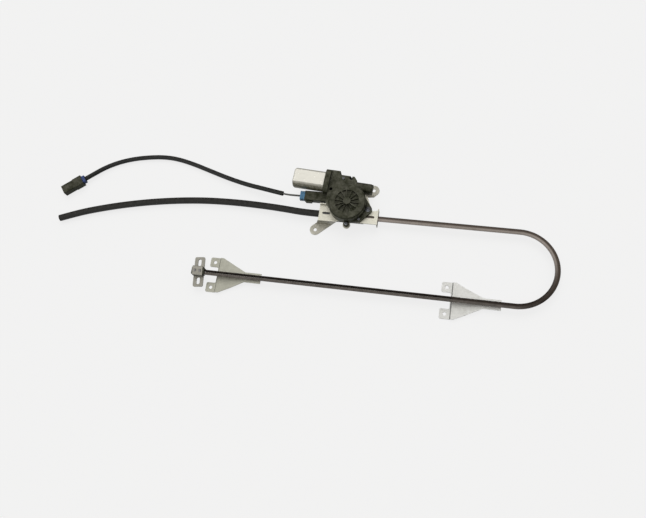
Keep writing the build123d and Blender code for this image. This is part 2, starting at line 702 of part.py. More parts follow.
with BuildPart() as damper:
    with BuildSketch(level(damper_low_z)):
        Circle(RIM_R - FIN_GAP)
        Circle(WHEEL_HUB_R + FIN_GAP, mode=Mode.SUBTRACT)
        with wheel_fins:
            Rectangle(wheel_fin_length + 2 * FIN_GAP, FIN_WIDTH + 2 * FIN_GAP, mode=Mode.SUBTRACT)
        with disc_fins:
            Rectangle(disc_fin_length + 2 * FIN_GAP, FIN_WIDTH + 2 * FIN_GAP, mode=Mode.SUBTRACT)
    extrude(amount=wheel_high_z - damper_low_z)
finish(damper, "damper")

with BuildPart() as drive_disc:
    with BuildSketch(level(disc_z)):
        Circle(RIM_R - LOOSE)
    extrude(amount=DISC_THICKNESS)
    with BuildSketch(level(damper_low_z + FIN_GAP)):
        with disc_fins:
            Rectangle(disc_fin_length, FIN_WIDTH)
    extrude(amount=disc_z - damper_low_z - FIN_GAP)
    with BuildSketch(level(gear_high_z)):
        Circle(SLEEVE_R)
    extrude(amount=disc_z - gear_high_z)
    with BuildSketch(level(gear_low_z)):
        RegularPolygon(HEX_R, 6)
    extrude(amount=GEAR_THICKNESS)
    with BuildSketch(level(gear_low_z)):
        Circle(PIN_R + RUNNING)
    extrude(amount=disc_top - gear_low_z, mode=Mode.SUBTRACT)
finish(drive_disc, "drive_disc")

with BuildPart() as drive_gear:
    with BuildSketch(gear_axis.offset(gear_low_z)):
        toothed_disc(GEAR_TEETH, gear_root_r, gear_tip_r, GEAR_TOOTH, GEAR_TOOTH_TIP, -90)
    extrude(amount=GEAR_THICKNESS)
    with BuildSketch(level(gear_low_z)):
        RegularPolygon(HEX_R + SEAT, 6)
    extrude(amount=GEAR_THICKNESS, mode=Mode.SUBTRACT)
finish(drive_gear, "drive_gear")

with BuildPart() as gear_washer:
    with BuildSketch(level(pocket_z + SEAT)):
        Circle(HEX_R + WASHER_LIP)
        Circle(PIN_R + RUNNING, mode=Mode.SUBTRACT)
    extrude(amount=WASHER_THICKNESS)
finish(gear_washer, "gear_washer")

# ---------------------------------------------------------------- gearbox housing and cover

CEILING_GAP = 0.8
ARM_R = 8.8
ARM_END_X = 41.0
TUNNEL_END_X = 36.0
TUNNEL_GAP = 0.8
BRUSH_TOP_Y = 60.0
BRUSH_BLOCK_LENGTH = 16.0
HOUSING_TOP_Y = 52.5
HOUSING_LOW_Y = -6.0
FLANGE_WIDTH = 47.0
FLANGE_TALL = 36.0
FLANGE_CORNER = 12.0
LUG_Z = 28.0
HUB_TOP_GAP = 2.6
HUB_SKIN = 2.0
BAND_INSET = 1.0
BAND_ANGLE = 24.0
ARM_TIP = 3.0
ARM_TIP_ANGLE = 30.0
CASE_STEP_X = 4.0
CASE_RIGHT_X = 10.0
CASE_FOOT = (-34.0, -12.0)
HOLE_GAP = 0.1
HEAD_HEIGHT = 3.0
HEAD_SEAT = 1.2
HEAD_GAP = 0.4
COVER_LUG_R = 4.2
COVER_SCREW_R = 1.5
COVER_HEAD_R = 2.7
COVER_HEAD_HEIGHT = 1.8
SEAL_R = 9.6
SOCKET_REACH = 67.2
SOCKET_DEPTH = 14.0
SOCKET_LENGTH = 25.6
SOCKET_LAP = 3.0
NOSE_WIDTH = 14.4
NOSE_HEIGHT = 10.4
NOSE_LENGTH = 12.0
NOSE_CORNER = 1.0
PLUG_CORNER = 2.0
BLADE_WIDTH = 2.4
BLADE_THICKNESS = 0.8

SOCKET_LEFT_X = GEAR_X - SOCKET_REACH
SOCKET_FLOOR_X = SOCKET_LEFT_X + SOCKET_DEPTH
SOCKET_RIGHT_X = SOCKET_LEFT_X + SOCKET_LENGTH
shoulder_z = MOTOR_Z + ARM_R
ceiling_z = disc_top + CEILING_GAP
roof_z = ceiling_z + HOUSING_WALL
rib_z = roof_z + RIB_HEIGHT
hub_z = rib_z + HUB_TOP_GAP
worm_tip_r = WORM_PITCH_RADIUS + WHEEL_ADDENDUM
worm_root_r = WORM_PITCH_RADIUS - WHEEL_DEDENDUM
tunnel_r = worm_tip_r + TUNNEL_GAP
pin_low_z = pocket_z - PIN_SEAT_DEPTH + SEAT
pin_high_z = hub_z - HUB_SKIN
can_inner_r = CAN_DIA / 2 - CAN_WALL
can_inner_height = CAN_FLATS - 2 * CAN_WALL
cover_head_z = [shoulder_z, LUG_Z, LUG_Z]
case_points = [
    (FLANGE_X, HOUSING_LOW_Y),
    (FLANGE_X, BRUSH_TOP_Y),
    (FLANGE_X + BRUSH_BLOCK_LENGTH, BRUSH_TOP_Y),
    (FLANGE_X + BRUSH_BLOCK_LENGTH, HOUSING_TOP_Y),
    (CASE_STEP_X, HOUSING_TOP_Y),
    (CASE_RIGHT_X, CENTRE_DISTANCE + ARM_R),
    (CASE_RIGHT_X, 0),
    CASE_FOOT,
]


def plug_section(x):
    """Plane across the motor plug at X, its sketch X along Y and its sketch Y upwards."""
    return Plane(origin=(x, PLUG_Y, PLUG_Z), x_dir=(0, 1, 0), z_dir=(1, 0, 0))


def case_outline():
    """Plan outline that the housing shares with its cover."""
    Circle(housing_r)
    Polygon(*case_points, align=None)
    with Locations((ARM_END_X / 2, CENTRE_DISTANCE)):
        Rectangle(ARM_END_X, 2 * ARM_R)


def arm_section():
    """Round section of the shaft arm, cut off level with the cover."""
    Circle(ARM_R)
    with Locations((0, COVER_TOP - MOTOR_Z)):
        Rectangle(2 * ARM_R, ARM_R, align=(Align.CENTER, Align.MAX), mode=Mode.SUBTRACT)


def flank():
    """Straight flanks from the round to the right-hand screw lug and the cover lug beside it."""
    Circle(housing_r)
    with Locations(SCREW_SPOTS[1]):
        Circle(SCREW_LUG_RADII[1])
    with Locations(COVER_SPOTS[1]):
        Circle(COVER_LUG_R)
    make_hull()


with BuildPart() as gearbox_housing:
    with BuildSketch(level(COVER_TOP)):
        Circle(housing_r)
    extrude(amount=roof_z - COVER_TOP)
    with BuildSketch(level(COVER_TOP)):
        case_outline()
    extrude(amount=MOTOR_Z - COVER_TOP)
    with BuildSketch(level(MOTOR_Z)):
        Polygon(*case_points, align=None)
    extrude(amount=shoulder_z - MOTOR_Z)
    with BuildSketch(station(0)):
        arm_section()
    extrude(amount=ARM_END_X - ARM_TIP)
    with BuildSketch(station(ARM_END_X - ARM_TIP)):
        arm_section()
    extrude(amount=ARM_TIP, taper=ARM_TIP_ANGLE)
    with BuildSketch(station(FLANGE_X)):
        RectangleRounded(FLANGE_WIDTH, FLANGE_TALL, FLANGE_CORNER)
    extrude(amount=-FLANGE_THICKNESS)
    with BuildSketch(level(roof_z)):
        Circle(housing_r - BAND_INSET)
    extrude(amount=RIB_HEIGHT, taper=BAND_ANGLE)
    with BuildSketch(level(roof_z)):
        Circle(DISH_RADIUS)
    extrude(amount=RIB_HEIGHT, mode=Mode.SUBTRACT)
    with BuildSketch(level(roof_z)):
        with PolarLocations(DISH_RADIUS / 2, RIB_COUNT):
            Rectangle(DISH_RADIUS + RIB_WIDTH, RIB_WIDTH)
        Circle(HUB_RADIUS)
    extrude(amount=RIB_HEIGHT)
    with BuildSketch(level(rib_z)):
        Circle(HUB_RADIUS)
    extrude(amount=HUB_TOP_GAP)
    with BuildSketch(plug_section(SOCKET_LEFT_X)):
        RectangleRounded(PLUG_WIDTH, PLUG_HEIGHT, PLUG_CORNER)
    extrude(amount=SOCKET_RIGHT_X - SOCKET_LEFT_X)
    with BuildSketch(plug_section(SOCKET_RIGHT_X)):
        with Locations((0, COVER_TOP - PLUG_Z)):
            Rectangle(PLUG_WIDTH, PLUG_HEIGHT / 2, align=(Align.CENTER, Align.MIN))
    extrude(amount=SOCKET_LAP)
    for spot, radius in zip(SCREW_SPOTS, SCREW_LUG_RADII):
        with BuildSketch(level(COVER_TOP)):
            with Locations(spot):
                Circle(radius)
        extrude(amount=LUG_Z - COVER_TOP)
        with BuildSketch(level(DECK_TOP)):
            with Locations(spot):
                Circle(radius)
            Circle(housing_r + SLIDING, mode=Mode.SUBTRACT)
            Polygon(*case_points, align=None, mode=Mode.SUBTRACT)
        extrude(amount=COVER_THICKNESS)
    with BuildSketch(level(COVER_TOP)):
        flank()
    extrude(amount=LUG_Z - COVER_TOP)
    # wheel chamber, worm tunnel, brush space and plug socket
    with BuildSketch(level(COVER_TOP)):
        Circle(chamber_r)
    extrude(amount=ceiling_z - COVER_TOP, mode=Mode.SUBTRACT)
    with BuildSketch(station(FLANGE_X)):
        Circle(tunnel_r)
    extrude(amount=TUNNEL_END_X - FLANGE_X, mode=Mode.SUBTRACT)
    with BuildSketch(level(COVER_TOP)):
        with Locations(((TUNNEL_END_X + FLANGE_X) / 2, CENTRE_DISTANCE)):
            Rectangle(TUNNEL_END_X - FLANGE_X, 2 * tunnel_r)
    extrude(amount=MOTOR_Z - COVER_TOP, mode=Mode.SUBTRACT)
    with BuildSketch(station(FLANGE_X)):
        Circle(can_inner_r)
        Rectangle(CAN_DIA, can_inner_height, mode=Mode.INTERSECT)
    extrude(amount=-FLANGE_THICKNESS, mode=Mode.SUBTRACT)
    with BuildSketch(level(ceiling_z)):
        Circle(PIN_R + SEAT)
    extrude(amount=pin_high_z - ceiling_z, mode=Mode.SUBTRACT)
    with BuildSketch(plug_section(SOCKET_LEFT_X)):
        RectangleRounded(NOSE_WIDTH + 2 * SLIDING, NOSE_HEIGHT + 2 * SLIDING, NOSE_CORNER)
    extrude(amount=SOCKET_FLOOR_X - SOCKET_LEFT_X, mode=Mode.SUBTRACT)
    with BuildSketch(plug_section(SOCKET_LEFT_X)):
        with GridLocations(1, 2 * WIRE_OFFSET, 1, 2):
            Rectangle(BLADE_WIDTH + 2 * SEAT, BLADE_THICKNESS + 2 * SEAT)
    extrude(amount=SOCKET_RIGHT_X - SOCKET_LEFT_X, mode=Mode.SUBTRACT)
    with BuildSketch(level(DECK_TOP)):
        with Locations(SCREW_SPOTS):
            Circle(SCREW_R + HOLE_GAP)
    extrude(amount=shoulder_z - DECK_TOP, mode=Mode.SUBTRACT)
    with BuildSketch(level(LUG_Z)):
        for spot, radius in zip(SCREW_SPOTS, HEAD_RADII):
            with Locations(spot):
                Circle(radius + HEAD_GAP)
        with Locations(COVER_SPOTS[1:]):
            Circle(COVER_HEAD_R + HEAD_GAP)
    extrude(amount=hub_z - LUG_Z, mode=Mode.SUBTRACT)
    with BuildSketch(level(COVER_TOP)):
        with Locations(COVER_SPOTS):
            Circle(COVER_SCREW_R + SEAT)
    extrude(amount=shoulder_z - COVER_TOP, mode=Mode.SUBTRACT)
finish(gearbox_housing, "gearbox_housing")

with BuildPart() as gearbox_cover:
    with BuildSketch(level(DECK_TOP)):
        flank()
        with Locations(SCREW_SPOTS[1]):
            Circle(SCREW_LUG_RADII[1] + SLIDING, mode=Mode.SUBTRACT)
        case_outline()
        with Locations(SCREW_SPOTS):
            Circle(SCREW_R + HOLE_GAP, mode=Mode.SUBTRACT)
        with Locations(COVER_SPOTS):
            Circle(COVER_SCREW_R + SEAT, mode=Mode.SUBTRACT)
        Circle(SEAL_R, mode=Mode.SUBTRACT)
    extrude(amount=COVER_THICKNESS)
finish(gearbox_cover, "gearbox_cover")

with BuildPart() as shaft_seal:
    with BuildSketch(level(DECK_TOP)):
        Circle(SEAL_R - SEAT)
        Circle(SLEEVE_R + RUNNING, mode=Mode.SUBTRACT)
    extrude(amount=COVER_THICKNESS)
finish(shaft_seal, "shaft_seal")

with BuildPart() as axle_pin:
    with BuildSketch(level(pin_low_z)):
        Circle(PIN_R)
    extrude(amount=pin_high_z - pin_low_z - SEAT)
finish(axle_pin, "axle_pin")

with BuildPart() as mounting_screws:
    with BuildSketch(level(DECK_Z)):
        with Locations(SCREW_SPOTS):
            Circle(SCREW_R)
    extrude(amount=LUG_Z - DECK_Z)
    with BuildSketch(level(LUG_Z)):
        for spot, radius in zip(SCREW_SPOTS, HEAD_RADII):
            with Locations(spot):
                Circle(radius)
    extrude(amount=HEAD_SEAT)
    with BuildSketch(level(LUG_Z)):
        with Locations(SCREW_SPOTS):
            Circle(HEAD_RADII[0])
    extrude(amount=HEAD_HEIGHT)
    with BuildSketch(level(LUG_Z + HEAD_HEIGHT)):
        with Locations(SCREW_SPOTS):
            RegularPolygon(HEAD_RADII[0] / 2, 6)
    extrude(amount=-HEAD_HEIGHT / 2, mode=Mode.SUBTRACT)
finish(mounting_screws, "mounting_screws")

with BuildPart() as cover_screws:
    for spot, head_z in zip(COVER_SPOTS, cover_head_z):
        with BuildSketch(level(DECK_TOP + SEAT)):
            with Locations(spot):
                Circle(COVER_SCREW_R)
        extrude(amount=head_z - DECK_TOP - SEAT)
        with BuildSketch(level(head_z)):
            with Locations(spot):
                Circle(COVER_HEAD_R)
        extrude(amount=COVER_HEAD_HEIGHT)
finish(cover_screws, "cover_screws")

# ---------------------------------------------------------------- motor

WORM_TURNS = 6
THREAD_ROOT = 0.3
SHAFT_REAR_X = -110.5
SHAFT_FRONT_X = 32.0
CAN_CORNER = 3.5
REAR_COLLAR_R = 10.5
REAR_BUSH_R = 8.5
REAR_BUSH_LENGTH = 6.0
CORE_LENGTH = 32.0
CORE_REAR_X = -97.0
SLOT_INNER_R = 6.5
SLOT_OUTER_R = 11.0
WINDING_SLOT = 2.6
SLOT_MOUTH = 1.0
WINDING_OVERHANG = 5.0
WINDING_GAP = 0.2
COMMUTATOR_R = 6.5
COMMUTATOR_REAR_X = -56.0
COMMUTATOR_LENGTH = 13.0
MAGNET_GAP = 0.6
MAGNET_LENGTH = 38.0
BRUSH_LENGTH = 4.0
BRUSH_HEIGHT = 5.0
BRUSH_OUTER_R = 14.0
BUSH_LENGTH = 8.0
FRONT_BUSH_X = -38.0
END_BUSH_X = 22.0
BAR_GAP_DEPTH = 1.0
BAR_GAP_WIDTH = 0.4

can_rear_x = FLANGE_X - FLANGE_THICKNESS - CAN_LENGTH
can_front_x = FLANGE_X - FLANGE_THICKNESS
thread_start_x = -WORM_TURNS / 2 * WORM_PITCH

with BuildPart() as motor_can:
    with BuildSketch(station(can_rear_x)):
        Circle(CAN_DIA / 2)
        Rectangle(CAN_DIA, CAN_FLATS, mode=Mode.INTERSECT)
    extrude(amount=CAN_LENGTH)
    fillet(motor_can.faces().sort_by(Axis(station(0).origin, station(0).z_dir))[0].edges(), CAN_CORNER)
    with BuildSketch(station(can_rear_x + CAN_WALL)):
        Circle(can_inner_r)
        Rectangle(CAN_DIA, can_inner_height, mode=Mode.INTERSECT)
    extrude(amount=CAN_LENGTH - CAN_WALL, mode=Mode.SUBTRACT)
    with BuildSketch(station(can_rear_x + CAN_WALL)):
        Circle(REAR_COLLAR_R)
        Circle(REAR_BUSH_R + SEAT, mode=Mode.SUBTRACT)
    extrude(amount=REAR_BUSH_LENGTH)
finish(motor_can, "motor_can")

with BuildPart() as worm_shaft:
    with BuildLine() as helix:
        Helix(WORM_PITCH, WORM_TURNS * WORM_PITCH, worm_root_r)
    with BuildSketch(Plane(origin=(worm_root_r, 0, 0), x_dir=(1, 0, 0), z_dir=(0, -1, 0))):
        thread_depth = worm_tip_r - worm_root_r
        root_half = WORM_TOOTH / 2 + WHEEL_DEDENDUM * FLANK
        tip_half = WORM_TOOTH / 2 - WHEEL_ADDENDUM * FLANK
        Polygon(
            (-THREAD_ROOT, -root_half),
            (thread_depth, -tip_half),
            (thread_depth, tip_half),
            (-THREAD_ROOT, root_half),
            align=None,
        )
    sweep(path=helix.wires()[0], is_frenet=True)
    with BuildSketch(Plane.XY.offset(-WORM_PITCH)):
        Circle(worm_root_r)
    extrude(amount=(WORM_TURNS + 2) * WORM_PITCH)
    with BuildSketch(Plane.XY.offset(SHAFT_REAR_X - thread_start_x)):
        Circle(SHAFT_R)
    extrude(amount=SHAFT_FRONT_X - SHAFT_REAR_X)

with BuildPart() as armature_shaft:
    add(worm_shaft.part.moved(station(thread_start_x).location))
finish(armature_shaft, "armature_shaft")

core_front_x = CORE_REAR_X + CORE_LENGTH
slot_length = SLOT_OUTER_R - SLOT_INNER_R
slot_places = PolarLocations((SLOT_OUTER_R + SLOT_INNER_R) / 2, SLOT_COUNT)

with BuildPart() as armature_core:
    with BuildSketch(station(CORE_REAR_X)):
        Circle(ARMATURE_DIA / 2)
        Circle(SHAFT_R + SEAT, mode=Mode.SUBTRACT)
        with slot_places:
            Rectangle(slot_length, WINDING_SLOT, mode=Mode.SUBTRACT)
        with PolarLocations(ARMATURE_DIA / 2, SLOT_COUNT):
            Rectangle(slot_length, SLOT_MOUTH, mode=Mode.SUBTRACT)
    extrude(amount=CORE_LENGTH)
finish(armature_core, "armature_core")

with BuildPart() as armature_windings:
    with BuildSketch(station(CORE_REAR_X - WINDING_GAP)):
        with slot_places:
            Rectangle(slot_length - 2 * WINDING_GAP, WINDING_SLOT - 2 * WINDING_GAP)
    extrude(amount=CORE_LENGTH + 2 * WINDING_GAP)
    for x in (CORE_REAR_X - WINDING_GAP - WINDING_OVERHANG, core_front_x + WINDING_GAP):
        with BuildSketch(station(x)):
            Circle(SLOT_OUTER_R)
            Circle(SHAFT_R + WINDING_GAP, mode=Mode.SUBTRACT)
        extrude(amount=WINDING_OVERHANG)
finish(armature_windings, "armature_windings")

with BuildPart() as commutator:
    with BuildSketch(station(COMMUTATOR_REAR_X)):
        Circle(COMMUTATOR_R)
        Circle(SHAFT_R + SEAT, mode=Mode.SUBTRACT)
        with PolarLocations(COMMUTATOR_R, SLOT_COUNT):
            Rectangle(BAR_GAP_DEPTH, BAR_GAP_WIDTH, mode=Mode.SUBTRACT)
    extrude(amount=COMMUTATOR_LENGTH)
finish(commutator, "commutator")

with BuildPart() as magnets:
    with BuildSketch(station(core_front_x - CORE_LENGTH / 2 - MAGNET_LENGTH / 2)):
        Circle(can_inner_r - RUNNING)
        Circle(ARMATURE_DIA / 2 + MAGNET_GAP, mode=Mode.SUBTRACT)
        Rectangle(CAN_DIA, 2 * ARMATURE_DIA / 3, mode=Mode.INTERSECT)
    extrude(amount=MAGNET_LENGTH)
finish(magnets, "magnets")


def bush(name, x, length, outer):
    """Plain bearing around the motor shaft."""
    with BuildPart() as bearing:
        with BuildSketch(station(x)):
            Circle(outer)
            Circle(SHAFT_R + RUNNING, mode=Mode.SUBTRACT)
        extrude(amount=length)
    finish(bearing, name)


bush("rear_bush", can_rear_x + CAN_WALL, REAR_BUSH_LENGTH, REAR_BUSH_R)
bush("front_bush", FRONT_BUSH_X, BUSH_LENGTH, tunnel_r - SEAT)
bush("end_bush", END_BUSH_X, BUSH_LENGTH, tunnel_r - SEAT)

with BuildPart() as thrust_pad:
    with BuildSketch(station(SHAFT_FRONT_X + RUNNING)):
        Circle(tunnel_r - SEAT)
    extrude(amount=TUNNEL_END_X - SHAFT_FRONT_X - 2 * RUNNING)
finish(thrust_pad, "thrust_pad")

brush_mid_x = FLANGE_X - FLANGE_THICKNESS / 2
with BuildPart() as brush_holder:
    with BuildSketch(station(can_front_x + SLIDING)):
        Circle(can_inner_r - RUNNING)
        Rectangle(CAN_DIA, can_inner_height - 2 * RUNNING, mode=Mode.INTERSECT)
        Circle(COMMUTATOR_R + MAGNET_GAP, mode=Mode.SUBTRACT)
    extrude(amount=FLANGE_THICKNESS - 2 * SLIDING)
    with BuildSketch(station(brush_mid_x - BRUSH_LENGTH / 2 - SEAT)):
        Rectangle(2 * BRUSH_OUTER_R, BRUSH_HEIGHT + 2 * SEAT)
    extrude(amount=BRUSH_LENGTH + 2 * SEAT, mode=Mode.SUBTRACT)
finish(brush_holder, "brush_holder")

with BuildPart() as brushes:
    with BuildSketch(station(brush_mid_x - BRUSH_LENGTH / 2)):
        Rectangle(2 * BRUSH_OUTER_R - SEAT, BRUSH_HEIGHT)
        Circle(COMMUTATOR_R + RUNNING, mode=Mode.SUBTRACT)
    extrude(amount=BRUSH_LENGTH)
finish(brushes, "brushes")

# ---------------------------------------------------------------- motor lead and hose

PLUG_BODY_LENGTH = 18.0
PLUG_SEAL_LENGTH = 9.5
SEAL_WIDTH = 18.0
SEAL_HEIGHT = 12.0
LATCH_LENGTH = 12.0
LATCH_WIDTH = 3.0
LATCH_HEIGHT = 7.0
TERMINAL_WIDTH = 3.4
TERMINAL_HEIGHT = 2.4
TERMINAL_LENGTH = 22.0
BLADE_INSET = 3.0
END_PLUG_LENGTH = 44.7
END_COLLAR_LENGTH = 18.7
END_COLLAR_WIDTH = 21.0
END_SEAL_LENGTH = 6.0
END_SEAL_WIDTH = 16.0
END_SEAL_HEIGHT = 11.0
END_SOCKET_WIDTH = 2.8
END_SOCKET_HEIGHT = 2.0
END_TERMINAL_LENGTH = 20.0
SEAL_CORNER = 3.0
SEAL_GROOVE = 0.8
SEAL_GROOVE_WIDTH = 1.2
SEAL_GROOVE_PLACES = (0.35, 0.65)
LATCH_INSET = 3.0
LATCH_ROOT = 1.0
ROOT_LAP = 1.0
TERMINAL_INSET = 6.0
TERMINAL_WALL = 0.5
WIRE_INSET = 5.0
LEAD_STRAIGHT = 16.0
SLEEVE_WALL = 0.6
ROUNDING = 0.45

plug_rear_x = SOCKET_LEFT_X - PLUG_BODY_LENGTH
blade_start_x = SOCKET_LEFT_X + BLADE_INSET
terminal_start_x = plug_rear_x + TERMINAL_INSET
wire_hole_r = WIRE_DIA / 2 + SEAT

with BuildPart() as motor_plug:
    with BuildSketch(plug_section(plug_rear_x)):
        RectangleRounded(PLUG_WIDTH, PLUG_HEIGHT, PLUG_CORNER)
    extrude(amount=PLUG_BODY_LENGTH - SEAT)
    with BuildSketch(plug_section(SOCKET_LEFT_X - ROOT_LAP)):
        RectangleRounded(NOSE_WIDTH, NOSE_HEIGHT, NOSE_CORNER)
    extrude(amount=NOSE_LENGTH + ROOT_LAP)
    with BuildSketch(plug_section(plug_rear_x + LATCH_INSET)):
        with Locations((-(PLUG_WIDTH + LATCH_WIDTH) / 2 + LATCH_ROOT, 0)):
            Rectangle(LATCH_WIDTH + 2 * LATCH_ROOT, LATCH_HEIGHT)
    extrude(amount=LATCH_LENGTH)
    with BuildSketch(plug_section(terminal_start_x)):
        with GridLocations(1, 2 * WIRE_OFFSET, 1, 2):
            Rectangle(TERMINAL_WIDTH + 2 * SEAT, TERMINAL_HEIGHT + 2 * SEAT)
    extrude(amount=SOCKET_FLOOR_X - terminal_start_x, mode=Mode.SUBTRACT)
    with BuildSketch(plug_section(plug_rear_x)):
        with GridLocations(1, 2 * WIRE_OFFSET, 1, 2):
            Circle(wire_hole_r)
    extrude(amount=terminal_start_x - plug_rear_x, mode=Mode.SUBTRACT)
finish(motor_plug, "motor_plug")

with BuildPart() as plug_seal:
    with BuildSketch(plug_section(plug_rear_x)):
        RectangleRounded(SEAL_WIDTH, SEAL_HEIGHT, SEAL_CORNER)
        with GridLocations(1, 2 * WIRE_OFFSET, 1, 2):
            Circle(wire_hole_r, mode=Mode.SUBTRACT)
    extrude(amount=-PLUG_SEAL_LENGTH)
    for part in SEAL_GROOVE_PLACES:
        with BuildSketch(plug_section(plug_rear_x - PLUG_SEAL_LENGTH * part)):
            RectangleRounded(SEAL_WIDTH, SEAL_HEIGHT, SEAL_CORNER)
            RectangleRounded(
                SEAL_WIDTH - 2 * SEAL_GROOVE,
                SEAL_HEIGHT - 2 * SEAL_GROOVE,
                SEAL_CORNER - SEAL_GROOVE,
                mode=Mode.SUBTRACT,
            )
        extrude(amount=-SEAL_GROOVE_WIDTH, mode=Mode.SUBTRACT)
finish(plug_seal, "plug_seal")

with BuildPart() as plug_terminals:
    with BuildSketch(plug_section(terminal_start_x)):
        with GridLocations(1, 2 * WIRE_OFFSET, 1, 2):
            Rectangle(TERMINAL_WIDTH, TERMINAL_HEIGHT)
    extrude(amount=TERMINAL_LENGTH)
    with BuildSketch(plug_section(blade_start_x - ROOT_LAP)):
        with GridLocations(1, 2 * WIRE_OFFSET, 1, 2):
            Rectangle(BLADE_WIDTH + 2 * SEAT, BLADE_THICKNESS + 2 * SEAT)
    extrude(amount=TERMINAL_LENGTH, mode=Mode.SUBTRACT)
finish(plug_terminals, "plug_terminals")

with BuildPart() as socket_blades:
    with BuildSketch(plug_section(blade_start_x)):
        with GridLocations(1, 2 * WIRE_OFFSET, 1, 2):
            Rectangle(BLADE_WIDTH, BLADE_THICKNESS)
    extrude(amount=SOCKET_RIGHT_X - blade_start_x)
finish(socket_blades, "socket_blades")

end_run = (cos(radians(END_PLUG_ANGLE)), sin(radians(END_PLUG_ANGLE)))


def end_place(distance):
    """Plane across the loose plug, at a distance behind its mating face."""
    origin = (
        END_PLUG_X + distance * end_run[0],
        TUBE_SPACING + END_PLUG_RISE + distance * end_run[1],
        END_PLUG_Z,
    )
    return Plane(origin=origin, x_dir=(-end_run[1], end_run[0], 0), z_dir=(end_run[0], end_run[1], 0))


with BuildPart() as end_plug:
    with BuildSketch(end_place(0)):
        RectangleRounded(PLUG_WIDTH, PLUG_HEIGHT, PLUG_CORNER)
    extrude(amount=END_PLUG_LENGTH - END_COLLAR_LENGTH)
    with BuildSketch(end_place(END_PLUG_LENGTH - END_COLLAR_LENGTH)):
        RectangleRounded(END_COLLAR_WIDTH, PLUG_HEIGHT, PLUG_CORNER)
    extrude(amount=END_COLLAR_LENGTH)
    with BuildSketch(end_place(0)):
        with GridLocations(1, 2 * WIRE_OFFSET, 1, 2):
            Rectangle(END_SOCKET_WIDTH, END_SOCKET_HEIGHT)
    extrude(amount=END_PLUG_LENGTH - LATCH_LENGTH, mode=Mode.SUBTRACT)
    with BuildSketch(end_place(END_PLUG_LENGTH)):
        with GridLocations(1, 2 * WIRE_OFFSET, 1, 2):
            Circle(wire_hole_r)
    extrude(amount=-LATCH_LENGTH, mode=Mode.SUBTRACT)
finish(end_plug, "end_plug")

with BuildPart() as end_seal:
    with BuildSketch(end_place(END_PLUG_LENGTH)):
        RectangleRounded(END_SEAL_WIDTH, END_SEAL_HEIGHT, SEAL_CORNER)
        with GridLocations(1, 2 * WIRE_OFFSET, 1, 2):
            Circle(wire_hole_r, mode=Mode.SUBTRACT)
    extrude(amount=END_SEAL_LENGTH)
finish(end_seal, "end_seal")

with BuildPart() as end_terminals:
    with BuildSketch(end_place(END_PLUG_LENGTH - LATCH_LENGTH - END_TERMINAL_LENGTH)):
        with GridLocations(1, 2 * WIRE_OFFSET, 1, 2):
            Rectangle(END_SOCKET_WIDTH - 2 * SEAT, END_SOCKET_HEIGHT - 2 * SEAT)
            Rectangle(
                END_SOCKET_WIDTH - 2 * TERMINAL_WALL,
                END_SOCKET_HEIGHT - 2 * TERMINAL_WALL,
                mode=Mode.SUBTRACT,
            )
    extrude(amount=END_TERMINAL_LENGTH)
finish(end_terminals, "end_terminals")

seal_face = end_place(END_PLUG_LENGTH + END_SEAL_LENGTH).origin
plug_face = end_place(END_PLUG_LENGTH).origin
lead_turn = end_place(END_PLUG_LENGTH + END_SEAL_LENGTH + LEAD_STRAIGHT).origin
# Turns of the free runs: X, height over the return run of the tube, Z.
lead_turns = [
    (98, 36.6, 16.2),
    (74, 41.6, 13.8),
    (36, 48.6, 11.2),
    (-4, 59.4, 8.4),
    (-45, 72.7, 6.1),
    (-86, 86.0, 4.9),
    (-123, 94.6, 4.7),
    (-155, 96.2, 4.7),
    (-187, 92.6, 4.7),
    (-218, 86.5, 4.7),
    (-249, 76.0, 4.7),
    (-276, 61.0, 5.6),
]
hose_turns = [
    (160, 0.0, TUBE_Z),
    (124, 4.2, 12.0),
    (76, 8.0, 9.6),
    (18, 10.2, 7.6),
    (-43, 9.0, 6.8),
    (-104, 3.2, 6.7),
    (-165, -6.2, 6.7),
    (-224, -18.7, 6.7),
    (-278, -33.4, 6.7),
    (-313, -45.0, 6.7),
    (-345, -57.8, 6.7),
]


def placed(turns):
    """Turns of a run, set over the tube's return run."""
    return [(x, TUBE_SPACING + rise, z) for x, rise, z in turns]


lead_points = placed(lead_turns) + [(lead_turn.X, lead_turn.Y, lead_turn.Z)]
sleeve_points = placed([(114, 33.5, 18.1)]) + lead_points + [(seal_face.X, seal_face.Y, seal_face.Z)]
wire_start = [
    (plug_rear_x + WIRE_INSET, PLUG_RISE, PLUG_Z),
    (plug_rear_x - PLUG_SEAL_LENGTH, PLUG_RISE, PLUG_Z),
    (124, 31.56, 19.3),
]
wire_points = placed(wire_start) + lead_points + [(plug_face.X, plug_face.Y, plug_face.Z)]
hose_points = placed([(PLATE_LEFT_X, 0, TUBE_Z)] + hose_turns)


def cord(points, lift, outer, inner):
    """Tube of the two radii along rounded-off points, raised by lift."""
    spots = [Vector(x, y, z + lift) for x, y, z in points]
    radii = []
    for before, here, after in zip(spots, spots[1:], spots[2:]):
        arriving = here - before
        leaving = after - here
        turn = radians(arriving.get_angle(leaving))
        radii.append(ROUNDING * min(arriving.length, leaving.length) / tan(turn / 2))
    with BuildLine() as run:
        FilletPolyline(*spots, radius=radii)
    with BuildSketch(Plane(origin=run.line @ 0, z_dir=run.line % 0)) as section:
        Circle(outer)
        if inner:
            Circle(inner, mode=Mode.SUBTRACT)
    sweep(section.sketch, path=run.wires()[0])
    length = run.wires()[0].length
    print("bend radii", [round(radius, 1) for radius in radii], "length", round(length, 1))
    print("section x length", round(pi * (outer**2 - inner**2) * length, 1))


with BuildPart() as harness_wires:
    for lift in (-WIRE_OFFSET, WIRE_OFFSET):
        cord(wire_points, lift, WIRE_DIA / 2, 0)
finish(harness_wires, "harness_wires")

